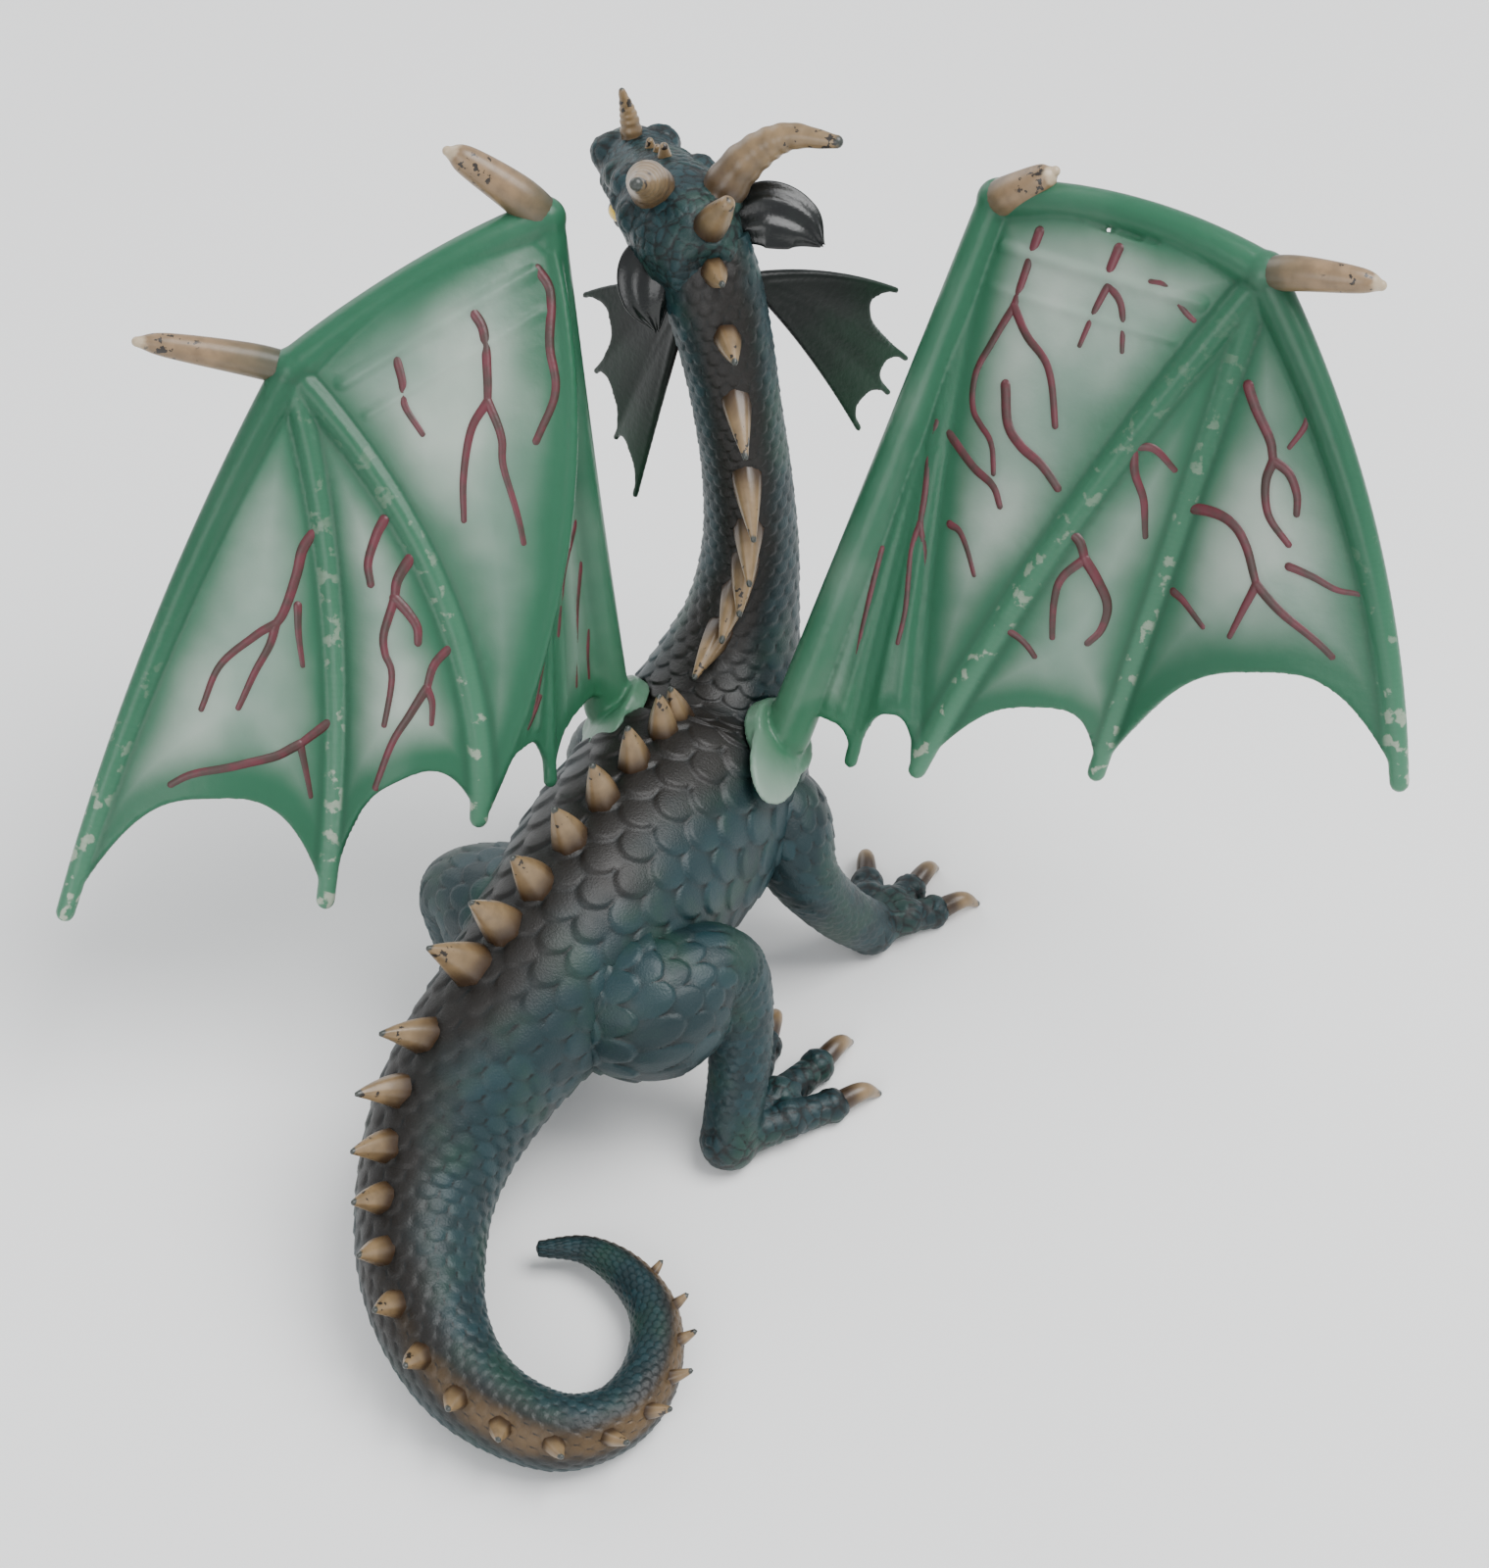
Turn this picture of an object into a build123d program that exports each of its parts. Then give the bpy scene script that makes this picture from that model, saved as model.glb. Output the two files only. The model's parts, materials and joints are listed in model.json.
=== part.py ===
from build123d import *
import os

# A moulded vinyl dragon figure that stands on four feet, with two translucent
# wings that plug into its shoulders and turn there.  Millimetres, +Z up.  The
# dragon faces -Y and its own left side is +X.  Every list below is laid out
# from a point on the table under the chest, and the finished pieces are moved
# together so that the origin is under the middle of the whole figure.

# Trunk, neck and tail girths
TORSO_WIDTH = 41.0
TORSO_HEIGHT = 43.0
NECK_WIDTH = 17.0
TAIL_WIDTH = 31.0

# Legs
THIGH_RADIUS = 14.0
KNEE_RADIUS = 8.2
ANKLE_RADIUS = 5.4
TOE_RADIUS = 2.9
TOE_TIP_RADIUS = 1.9
SOLE_FLAT = 0.6
CLAW_LENGTH = 7.5
PLUG_RADIUS = 5.0
PLUG_LENGTH = 16.0

# Head furniture
EYE_RADIUS = 2.0
HORN_RADIUS = 4.2
NOSE_HORN_RADIUS = 2.3
EAR_THICKNESS = 2.4
EAR_WIDTH = 10.0
FRILL_THICKNESS = 1.4
FRILL_RIB_RADIUS = 1.0
FIN_THICKNESS = 1.4

# Spines along the back
SPINE_SINK = 2.5
SPINE_TIP_RADIUS = 0.7

# Wings
WEB_THICKNESS = 1.5
ARM_ROOT_RADIUS = 4.2
ARM_RADIUS = 3.3
WRIST_RADIUS = 3.6
FINGER_RADIUS = 2.3
FINGER_TIP_RADIUS = 1.3
FOLD_RADIUS = 1.3
WING_CLAW_RADIUS = 2.4
WING_CLAW_TIP_RADIUS = 0.8

# Wing sockets: a round boss turns in a shallow seat, held by a headed peg
BOSS_RADIUS = 8.0
BOSS_THICKNESS = 4.0
SEAT_DEPTH = 2.0
SEAT_GAP = 0.3
PEG_RADIUS = 4.0
PEG_LENGTH = 9.0
PEG_HEAD_RADIUS = 4.8
PEG_HEAD_LENGTH = 2.5
PEG_CLEARANCE = 0.05
POCKET_HEIGHT = 16.0
SEAT_LEAN = Vector(0.75, 0, 0.66)

BIG = 400.0
UP = Vector(0, 0, 1)
REAR = Vector(0, 1, 0)

# Centre lines: x, y, z, then half width and half height as shares of the
# girth above.  The torso runs from chest to rump, the tail curls on the table.
TORSO_LINE = [
    (-3, -57, 41, 0.56, 0.52),
    (-2, -49, 38.5, 0.86, 0.84),
    (-1, -38, 37, 1.0, 0.97),
    (2, -26, 36, 1.03, 1.0),
    (6, -13, 35.5, 1.0, 0.98),
    (10, 1, 34.5, 0.92, 0.92),
    (14, 13, 32.5, 0.83, 0.83),
    (18, 22, 30, 0.73, 0.73),
]
NECK_LINE = [
    (-2, -46, 42, 1.5, 1.5),
    (-3, -54, 50, 1.42, 1.5),
    (-4.5, -60.5, 60, 1.2, 1.28),
    (-5, -64.5, 73, 1.02, 1.06),
    (-4, -66, 88, 0.93, 0.93),
    (-2, -67, 102, 0.91, 0.91),
    (0.5, -69, 114, 0.95, 0.97),
    (3.5, -71.5, 124, 1.0, 1.02),
    (6, -74, 131, 0.95, 0.95),
]
TAIL_LINE = [
    (11, 6, 33.5, 1.0, 1.0),
    (17, 20, 30.5, 1.0, 1.0),
    (22, 30, 26, 0.94, 0.94),
    (25.5, 40, 20, 0.86, 0.86),
    (26, 51, 15, 0.75, 0.76),
    (23.5, 62, 11.5, 0.68, 0.7),
    (18.5, 72, 9.4, 0.59, 0.6),
    (11, 80, 7.8, 0.5, 0.5),
    (2, 84.5, 6.8, 0.44, 0.44),
    (-7.5, 85.5, 6.1, 0.4, 0.4),
    (-15, 81, 5.4, 0.35, 0.35),
    (-18.5, 73.5, 4.9, 0.32, 0.32),
    (-18.5, 65, 4.5, 0.29, 0.29),
    (-15.5, 57, 4.2, 0.26, 0.26),
    (-9, 51, 4.4, 0.21, 0.21),
    (-1.5, 48.5, 4.8, 0.15, 0.15),
    (6.5, 50, 5.0, 0.07, 0.07),
]
HEAD_LINE = [
    (3.5, -66, 130.5, 5.5, 6),
    (6.5, -71, 131.5, 8.8, 9),
    (11, -78, 132.5, 9.8, 9.4),
    (15.5, -86, 131.5, 9.0, 8.0),
    (20.5, -94.5, 129.5, 7.4, 6.2),
    (25, -102, 128, 7.2, 5.6),
    (28, -107.5, 127, 4.6, 3.8),
]
JAW_LINE = [
    (10, -76, 124, 6.6, 3.4),
    (14.5, -84.5, 122.5, 6.6, 3.2),
    (19.5, -94, 121, 5.6, 2.8),
    (24, -101.5, 121, 4.6, 2.4),
    (26.5, -106, 121.8, 2.4, 1.4),
]
HEAD_LEFT = Vector(0.88, 0.47, 0)
EAR_FACE = Vector(-0.2, 0.7, 0.7)

# Legs: hip, mid thigh, knee and shin, then the heel and toe ends on the table
LEGS = {
    "right_hind_leg": {
        "line": [(4, 12, 31), (-6, 11, 31), (-16, 4, 32), (-20, 9, 19)],
        "heel": (-20.5, 19.5),
        "toes": [(-36.5, 6), (-32, -2.5), (-21.5, -5)],
    },
    "left_hind_leg": {
        "line": [(12, 2, 32), (24, -1, 32), (35.5, -5, 30), (32, 0, 17)],
        "heel": (28, 4),
        "toes": [(33, -12), (27, -16), (20, -14)],
    },
    "right_fore_leg": {
        "line": [(-8, -36, 36), (-17, -34, 33), (-24, -28.5, 25), (-30, -32, 13.5)],
        "heel": (-35, -37),
        "toes": [(-46, -45.5), (-40.5, -50), (-32, -50)],
    },
    "left_fore_leg": {
        "line": [(6, -42, 36), (15, -44, 33), (21, -51, 24), (18, -59, 13)],
        "heel": (14, -65),
        "toes": [(18, -77), (12, -79), (5, -76)],
    },
}
LEG_SHARES = {"hind": (1.0, 1.0, 0.95, 1.05, 0.93), "fore": (0.7, 0.72, 0.78, 1.0, 0.95)}

# Wings, as steps from the middle of the seat: elbow, wrist, the four finger
# tips from the leading edge to the body, and where the membrane meets the boss
WINGS = {
    "left_wing": {
        "side": 1,
        "elbow": (19.5, -31, 86),
        "wrist": (57, -1.5, 69),
        "fingers": [(84, 65, -4.5), (42, 49, -8), (17, 35, 4.5), (7, 24, 5.5)],
        "claws": [((8, 2, 9), (35, -28, 99)), ((13, 3, 4), (80.5, 7, 77))],
    },
    "right_wing": {
        "side": -1,
        "elbow": (-28.5, -48, 90),
        "wrist": (-78.5, -30, 96.5),
        "fingers": [(-110.5, 12, 26), (-59.5, -1, 4.5), (-28, 5, 4), (-15.5, 3, 1.5)],
        "claws": [((-5, 3, 5), (-38, -45, 99)), ((-10, 5, 5), (-93.5, -24, 99))],
    },
}
SCALLOP_DEPTHS = [18.0, 14.0, 9.0]
BODY_SCALLOP_DEPTH = 5.0


def vector(point):
    return Vector(*point)


def tube(stations, width, height, up):
    """Closed solid through elliptical sections; widths are shares of width."""
    centres = [vector(station[:3]) for station in stations]
    wires = []
    for index, station in enumerate(stations):
        ahead = centres[min(index + 1, len(centres) - 1)]
        behind = centres[max(index - 1, 0)]
        along = (ahead - behind).normalized()
        section = Plane(origin=centres[index], x_dir=along.cross(up), z_dir=along)
        wires.append(Wire.make_ellipse(station[3] * width, station[4] * height, section))
    return Solid.make_loft(wires)


def limb(points, radii, up=UP):
    """Round limb through the given points."""
    stations = [(*point, radius, radius) for point, radius in zip(points, radii)]
    return tube(stations, 1, 1, up)


def rod(start, end, start_radius, end_radius):
    """Straight tapered rod with rounded ends."""
    length = (end - start).length
    place = Plane(origin=start, z_dir=end - start)
    if abs(start_radius - end_radius) < 0.01:
        shaft = Solid.make_cylinder(start_radius, length, place)
    else:
        shaft = Solid.make_cone(start_radius, end_radius, length, place)
    return shaft


def ball(centre, radius):
    return Pos(*centre) * Solid.make_sphere(radius, angle1=-90, angle2=90, angle3=360)


def join(pieces):
    """Fuse the pieces into one solid."""
    return pieces[0].fuse(*pieces[1:])


def above_table(shape):
    """Flatten whatever would reach under the table top."""
    return shape - Pos(0, 0, -BIG / 2) * Box(BIG, BIG, BIG)


def web(root, tips, thickness, depths):
    """Thin membrane fanned from root, scalloped between the tips."""
    first = tips[0] - root
    plane = Plane(origin=root, x_dir=first, z_dir=first.cross(tips[-1] - root))
    corners = []
    for tip in tips:
        local = plane.to_local_coords(tip)
        corners.append(Vector(local.X, local.Y, 0))
    edges = [Line((0, 0, 0), corners[0])]
    for near, far, depth in zip(corners, corners[1:], depths):
        middle = (near + far) / 2
        edges.append(Bezier(near, middle - middle.normalized() * 2 * depth, far))
    edges.append(Line(corners[-1], (0, 0, 0)))
    sheet = plane * Face(Wire(edges))
    return extrude(sheet, amount=thickness / 2, dir=plane.z_dir, both=True).solid()


def trunk():
    return tube(TORSO_LINE, TORSO_WIDTH / 2, TORSO_HEIGHT / 2, UP)


def neck_shape():
    return tube(NECK_LINE, NECK_WIDTH / 2, NECK_WIDTH / 2, REAR)


def tail_shape():
    return above_table(tube(TAIL_LINE, TAIL_WIDTH / 2, TAIL_WIDTH / 2, UP))


def head_shape():
    skull = tube(HEAD_LINE, 1, 1, UP)
    nose = vector(HEAD_LINE[5][:3])
    brow = vector(HEAD_LINE[3][:3])
    lumps = [skull]
    for side in (-1, 1):
        lumps.append(ball(nose + HEAD_LEFT * side * 4.4 + UP * 1.6, 3.9))
        lumps.append(ball(brow + HEAD_LEFT * side * 6.0 + UP * 3.4, 3.6))
    return join(lumps)


def station_at(line, place):
    """Centre, direction and half height of a centre line at a given place."""
    index = min(int(place), len(line) - 2)
    share = place - index
    start, end = vector(line[index][:3]), vector(line[index + 1][:3])
    half = line[index][4] * (1 - share) + line[index + 1][4] * share
    return start + (end - start) * share, (end - start).normalized(), half


def spine(line, girth, place, roll, size, up, lean):
    """One pointed spine standing on a ridge, leaning towards the tail."""
    centre, along, half = station_at(line, place)
    outward = (up - along * up.dot(along)).normalized()
    outward = outward.rotate(Axis((0, 0, 0), along), roll)
    foot = centre + outward * (half * girth - SPINE_SINK)
    tip = foot + outward * (SPINE_SINK + size) + along * size * lean
    middle = foot + outward * (SPINE_SINK + size * 0.4) + along * size * lean * 0.25
    wires = []
    for point, long_half, wide_half in (
        (foot, size * 0.36, size * 0.3),
        (middle, size * 0.3, size * 0.24),
        (tip, SPINE_TIP_RADIUS, SPINE_TIP_RADIUS),
    ):
        wires.append(Wire.make_ellipse(long_half, wide_half, Plane(point, along, outward)))
    return Solid.make_loft(wires)


def spines(line, girth, places, rolls, sizes, leans, up, bodies):
    """A row of spines, trimmed where they meet the given bodies."""
    row = []
    for place, roll, size, lean in zip(places, rolls, sizes, leans):
        raw = spine(line, girth, place, roll, size, up, lean)
        row.append(trimmed(raw, *bodies))
    return Compound(children=row)


def spread(start, end, count):
    """Evenly spaced values from start to end."""
    return [start + (end - start) * step / (count - 1) for step in range(count)]


def foot_points(leg):
    """Heel and toe-end centres, low enough for each to flatten on the table."""
    heel = Vector(*leg["heel"], ANKLE_RADIUS - SOLE_FLAT)
    toe_ends = [Vector(*toe, TOE_RADIUS - SOLE_FLAT) for toe in leg["toes"]]
    return heel, toe_ends


def leg_shape(name):
    """One leg with its foot and toes, down to the table."""
    leg = LEGS[name]
    shares = LEG_SHARES["hind" if "hind" in name else "fore"]
    girths = (THIGH_RADIUS, THIGH_RADIUS, KNEE_RADIUS, ANKLE_RADIUS, ANKLE_RADIUS)
    radii = [girth * share for girth, share in zip(girths, shares)]
    heel, toe_ends = foot_points(leg)
    pieces = [limb(leg["line"] + [tuple(heel)], radii), ball(heel, ANKLE_RADIUS)]
    for end in toe_ends:
        pieces.append(rod(heel, end, ANKLE_RADIUS * 0.8, TOE_RADIUS))
        pieces.append(ball(end, TOE_RADIUS))
    return above_table(join(pieces))


def hip_plug(name):
    """Round plug that holds a leg in the torso."""
    hip, thigh = vector(LEGS[name]["line"][0]), vector(LEGS[name]["line"][1])
    return rod(hip, hip + (thigh - hip).normalized() * PLUG_LENGTH, PLUG_RADIUS, PLUG_RADIUS)


def claw_group(name, foot):
    """The claws of one foot, each on the end of its toe."""
    heel, toe_ends = foot_points(LEGS[name])
    claws = []
    for end in toe_ends:
        ahead = Vector(end.X - heel.X, end.Y - heel.Y, 0).normalized()
        tip = end + ahead * (CLAW_LENGTH + TOE_RADIUS) - UP * (end.Z - SPINE_TIP_RADIUS)
        middle = end + ahead * (CLAW_LENGTH * 0.5 + TOE_RADIUS) + UP * 0.6
        points = [tuple(end), tuple(middle), tuple(tip)]
        raw = limb(points, [TOE_TIP_RADIUS, TOE_TIP_RADIUS * 0.85, SPINE_TIP_RADIUS])
        claws.append(above_table(raw - foot).solids().sort_by(SortBy.VOLUME)[-1])
    return Compound(children=claws)


def seat_frame(side):
    """Point and outward axis of a wing seat, on the shoulder's flank."""
    centre = vector(TORSO_LINE[2][:3])
    axis = Vector(SEAT_LEAN.X * side, SEAT_LEAN.Y, SEAT_LEAN.Z).normalized()
    half_width = TORSO_LINE[2][3] * TORSO_WIDTH / 2
    half_height = TORSO_LINE[2][4] * TORSO_HEIGHT / 2
    reach = 1 / ((axis.X / half_width) ** 2 + (axis.Z / half_height) ** 2) ** 0.5
    return centre + axis * (reach - SEAT_DEPTH), axis


def seat_cut(side):
    """Everything that the boss and peg of a wing need clear."""
    seat, axis = seat_frame(side)
    pocket = Solid.make_cylinder(BOSS_RADIUS + SEAT_GAP, POCKET_HEIGHT, Plane(seat, z_dir=axis))
    inward = Plane(seat, z_dir=axis * -1)
    bore = Solid.make_cylinder(PEG_RADIUS + PEG_CLEARANCE, PEG_LENGTH, inward)
    head = Solid.make_cylinder(
        PEG_HEAD_RADIUS + PEG_CLEARANCE, PEG_HEAD_LENGTH + 2 * SEAT_GAP,
        Plane(seat - axis * (PEG_LENGTH - SEAT_GAP), z_dir=axis * -1),
    )
    return join([pocket, bore, head])


def wing_shape(name):
    """One wing: boss, headed peg, arm, fingers and membrane, moulded together."""
    wing = WINGS[name]
    seat, axis = seat_frame(wing["side"])
    elbow = seat + vector(wing["elbow"])
    wrist = seat + vector(wing["wrist"])
    tips = [seat + vector(tip) for tip in wing["fingers"]]
    shoulder = seat + axis * BOSS_THICKNESS
    boss = Solid.make_cylinder(
        BOSS_RADIUS, BOSS_THICKNESS - SEAT_GAP, Plane(seat + axis * SEAT_GAP, z_dir=axis)
    )
    inward = Plane(shoulder, z_dir=axis * -1)
    peg = Solid.make_cylinder(PEG_RADIUS, BOSS_THICKNESS + PEG_LENGTH, inward)
    head = Solid.make_cylinder(
        PEG_HEAD_RADIUS, PEG_HEAD_LENGTH, Plane(seat - axis * PEG_LENGTH, z_dir=axis * -1)
    )
    pieces = [
        boss, peg, head,
        rod(shoulder, elbow, ARM_ROOT_RADIUS, ARM_RADIUS), ball(shoulder, ARM_ROOT_RADIUS),
        rod(elbow, wrist, ARM_RADIUS, ARM_RADIUS), ball(elbow, ARM_RADIUS),
        ball(wrist, WRIST_RADIUS),
    ]
    for tip in tips[:3]:
        pieces.append(rod(wrist, tip, FINGER_RADIUS, FINGER_TIP_RADIUS))
        pieces.append(ball(tip, FINGER_TIP_RADIUS))
    pieces.append(rod(elbow, tips[2], FOLD_RADIUS, FOLD_RADIUS))
    pieces.append(rod(elbow, tips[3], FOLD_RADIUS, FOLD_RADIUS))
    pieces.append(ball(tips[3], FOLD_RADIUS))
    pieces.append(web(wrist, tips[0:2], WEB_THICKNESS, SCALLOP_DEPTHS[0:1]))
    pieces.append(web(wrist, tips[1:3], WEB_THICKNESS, SCALLOP_DEPTHS[1:2]))
    pieces.append(web(wrist, [tips[2], elbow], WEB_THICKNESS, [0]))
    pieces.append(web(elbow, tips[2:4], WEB_THICKNESS, SCALLOP_DEPTHS[2:3]))
    pieces.append(web(elbow, [tips[3], shoulder], WEB_THICKNESS, [BODY_SCALLOP_DEPTH]))
    return join(pieces)


def wing_claw_group(name, wing_solid):
    """The elbow claw and the wrist claw of one wing."""
    wing = WINGS[name]
    seat, _ = seat_frame(wing["side"])
    claws = []
    for knuckle, (rise, end) in zip(("elbow", "wrist"), wing["claws"]):
        start = seat + vector(wing[knuckle])
        middle = start + vector(rise)
        tip = seat + vector(end)
        points = [tuple(start), tuple((start + middle) / 2), tuple(tip)]
        radii = [WING_CLAW_RADIUS, WING_CLAW_RADIUS * 0.9, WING_CLAW_TIP_RADIUS]
        raw = limb(points, radii, Vector(0.3, 1, 0.2))
        claws.append((raw - wing_solid).solids().sort_by(SortBy.VOLUME)[-1])
    return Compound(children=claws)


def frill_outline(root, tips, depths):
    """Fan-shaped frill: a scalloped web stiffened by a rib to every tip."""
    pieces = [web(root, tips, FRILL_THICKNESS, depths)]
    for tip in tips:
        pieces.append(rod(root, tip, FRILL_RIB_RADIUS, FRILL_RIB_RADIUS * 0.6))
    return join(pieces)


def trimmed(shape, *bodies):
    """The largest solid left of a shape outside the given bodies."""
    for body in bodies:
        shape = shape - body
    return shape.solids().sort_by(SortBy.VOLUME)[-1]


def horn(points, start_radius):
    """Curved horn that tapers to a blunt tip."""
    last = len(points) - 1
    radii = []
    for index in range(len(points)):
        radii.append(start_radius * (1 - 0.72 * (index / last) ** 1.4))
    return limb(points, radii, Vector(0.2, 0.3, 1))


def head_pieces(neck_solid):
    """The skull and everything moulded or plugged onto it."""
    skull = head_shape()
    jaw = tube(JAW_LINE, 1, 1, UP)
    horns = {
        "right_horn": ([(5, -77, 136), (0, -80, 144), (-7, -82, 149), (-16, -81, 150)], HORN_RADIUS),
        "left_horn": ([(14, -77, 137), (14.5, -71, 144), (13, -63, 149), (12, -55, 154)], HORN_RADIUS),
        "nose_horn": ([(24.5, -99, 131), (25.5, -100, 137.5), (26.5, -99.5, 143)], NOSE_HORN_RADIUS),
    }
    pieces = {}
    for name, (points, radius) in horns.items():
        pieces[name] = trimmed(horn(points, radius), skull)
    bumps = []
    for share, size in ((0.2, 2.6), (0.42, 2.2), (0.64, 3.0)):
        foot = Vector(21.5, -95.5, 131.5) * (1 - share) + Vector(11.5, -80, 139) * share
        bump = Solid.make_cone(size * 0.5, size * 0.22, size * 1.9, Plane(foot, z_dir=UP + REAR * 0.2))
        bumps.append(trimmed(bump, skull))
    pieces["brow_spikes"] = Compound(children=bumps)
    for name, side in (("left_eye", 1), ("right_eye", -1)):
        centre = Vector(15, -85.5, 130.5) + HEAD_LEFT * side * 8.6
        pieces[name] = ball(centre, EYE_RADIUS)
        skull = skull - pieces[name]
    ears = {
        "right_ear": [(2, -78, 133), (-4, -80, 134.5), (-10, -81, 132.5), (-14, -81, 129)],
        "left_ear": [(12, -74, 130), (13.5, -69, 128), (13.5, -66, 123.5), (12, -65, 118)],
    }
    for name, points in ears.items():
        shares = (0.55, 1.0, 0.8, 0.15)
        stations = [(*point, share * EAR_WIDTH / 2, EAR_THICKNESS / 2 * (0.5 + share / 2))
                    for point, share in zip(points, shares)]
        pieces[name] = trimmed(tube(stations, 1, 1, EAR_FACE), skull, neck_solid, *pieces.values())
    skull = trimmed(skull, neck_solid)
    pieces["head"] = trimmed(skull, jaw)
    pieces["lower_jaw"] = trimmed(jaw, neck_solid)
    return pieces


def frills(neck_solid, taken):
    """Two frills behind the jaw and the red fin between them under the throat."""
    fans = {
        "right_frill": (Vector(-2.5, -74, 125), [(-26, -89, 116), (-28, -91, 100), (-25.5, -88, 94), (-21, -84, 88)]),
        "left_frill": (Vector(8, -72, 121), [(31, -86, 108), (28, -81, 95), (23, -75, 85), (18, -69, 77)]),
    }
    pieces = {}
    for name, (root, tips) in fans.items():
        fan = frill_outline(root, [vector(tip) for tip in tips], [7.0, 4.0, 4.0])
        pieces[name] = trimmed(fan, neck_solid, *taken)
    fin = web(Vector(6, -72, 119), [Vector(14, -86, 117), Vector(6, -78, 92), Vector(-3, -69, 88)],
              FIN_THICKNESS, [5.0, 2.0])
    pieces["throat_fin"] = trimmed(fin, neck_solid, *taken, *pieces.values())
    return pieces


def make_figure():
    """Every piece of the figure by node name, where it sits on the table."""
    pieces = {}
    torso_raw = trunk()
    torso = torso_raw
    tail_raw = tail_shape()
    neck_raw = neck_shape()

    tail_plug = rod(vector(TORSO_LINE[5][:3]), vector(TAIL_LINE[2][:3]), PLUG_RADIUS, PLUG_RADIUS)
    neck_plug = rod(vector(TORSO_LINE[2][:3]), vector(NECK_LINE[2][:3]), PLUG_RADIUS, PLUG_RADIUS)
    tail = trimmed(tail_raw, torso_raw).fuse(tail_plug)
    neck = trimmed(neck_raw, torso_raw).fuse(neck_plug)
    torso = torso - tail_plug - neck_plug

    legs = {}
    for name in LEGS:
        shape = leg_shape(name)
        plug = hip_plug(name)
        pieces[name.replace("_leg", "_claws")] = claw_group(name, shape)
        legs[name] = trimmed(shape, torso_raw, tail_raw, neck_raw).fuse(plug - tail_plug - neck_plug)
        torso = torso - plug

    wings = {name: wing_shape(name) for name in WINGS}
    for name, wing in WINGS.items():
        cut = seat_cut(wing["side"])
        torso = torso - cut
        neck = neck - cut
        for leg_name in legs:
            legs[leg_name] = legs[leg_name] - cut
        pieces[name] = wings[name]
        pieces[name + "_claws"] = wing_claw_group(name, wings[name])

    pieces["torso"] = trimmed(torso)
    pieces["neck"] = trimmed(neck)
    pieces["tail"] = trimmed(tail)
    for name, leg in legs.items():
        pieces[name] = trimmed(leg)
    pieces.update(head_pieces(neck_raw))
    taken = [pieces[name] for name in ("head", "lower_jaw", "right_ear", "left_ear")]
    pieces.update(frills(neck_raw, taken))

    pieces["neck_spines"] = spines(
        NECK_LINE, NECK_WIDTH / 2, spread(7.2, 2.1, 8), spread(16, 20, 8),
        spread(7.5, 9, 8), spread(-0.5, -0.9, 8), REAR, [neck_raw, torso_raw],
    )
    pieces["back_spines"] = spines(
        TORSO_LINE, TORSO_HEIGHT / 2, spread(1.5, 6.2, 8), spread(0, 16, 8),
        spread(8, 11, 8), spread(-0.1, 0.4, 8), UP,
        [torso_raw, neck_raw, seat_cut(1), seat_cut(-1)],
    )
    pieces["tail_spines"] = spines(
        TAIL_LINE, TAIL_WIDTH / 2, spread(2.0, 13.5, 16), spread(18, 62, 16),
        spread(9, 2.0, 16), spread(0.5, 0.4, 16), UP, [tail_raw, torso_raw],
    )
    return pieces


def export_figure():
    """Move the origin under the middle of the figure and write every piece."""
    pieces = make_figure()
    box = Compound(children=[Compound(children=piece.solids()) for piece in pieces.values()]).bounding_box()
    middle = (box.min + box.max) / 2
    shift = Pos(-middle.X, -middle.Y, -box.min.Z)
    os.makedirs("parts", exist_ok=True)
    for name, piece in pieces.items():
        export_step(shift * piece, f"parts/{name}.step")
    print("origin shift", round(-middle.X, 3), round(-middle.Y, 3), round(-box.min.Z, 3))


export_figure()
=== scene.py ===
import json
import math

import bpy
import numpy as np
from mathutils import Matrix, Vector, noise


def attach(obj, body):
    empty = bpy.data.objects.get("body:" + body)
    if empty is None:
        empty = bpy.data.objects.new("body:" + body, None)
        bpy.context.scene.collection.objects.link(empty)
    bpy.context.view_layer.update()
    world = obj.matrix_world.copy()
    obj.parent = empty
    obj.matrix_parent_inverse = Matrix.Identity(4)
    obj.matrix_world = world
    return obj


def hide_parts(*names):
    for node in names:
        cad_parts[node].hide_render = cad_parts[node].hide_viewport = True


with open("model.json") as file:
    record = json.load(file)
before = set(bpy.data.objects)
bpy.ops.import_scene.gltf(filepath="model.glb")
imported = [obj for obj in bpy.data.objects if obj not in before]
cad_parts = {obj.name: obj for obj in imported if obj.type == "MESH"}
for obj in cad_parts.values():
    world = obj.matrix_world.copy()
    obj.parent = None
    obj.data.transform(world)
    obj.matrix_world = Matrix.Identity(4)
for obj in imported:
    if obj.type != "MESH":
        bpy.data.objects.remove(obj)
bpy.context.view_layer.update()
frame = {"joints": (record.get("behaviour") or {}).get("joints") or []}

# Shapes are worked out in millimetres on the table that the figure stands on,
# the same layout as the CAD model.  The two wing joints sit either side of the
# shoulders, so the point midway between them ties that layout to the frame.
JOINT = {joint["name"]: np.array(joint["pos_m"]) * 1000 for joint in frame["joints"]}
AXIS = {joint["name"]: np.array(joint["axis"]) for joint in frame["joints"]}
SHOULDERS = (JOINT["left_wing_swing"] + JOINT["right_wing_swing"]) / 2
SHOULDERS_IN_LAYOUT = (-1.0, -38.0)
SHIFT = np.array([SHOULDERS[0] - SHOULDERS_IN_LAYOUT[0], SHOULDERS[1] - SHOULDERS_IN_LAYOUT[1], 0.0])
FIGURE = "figure"
UP = np.array([0.0, 0.0, 1.0])
REAR = np.array([0.0, 1.0, 0.0])

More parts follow.
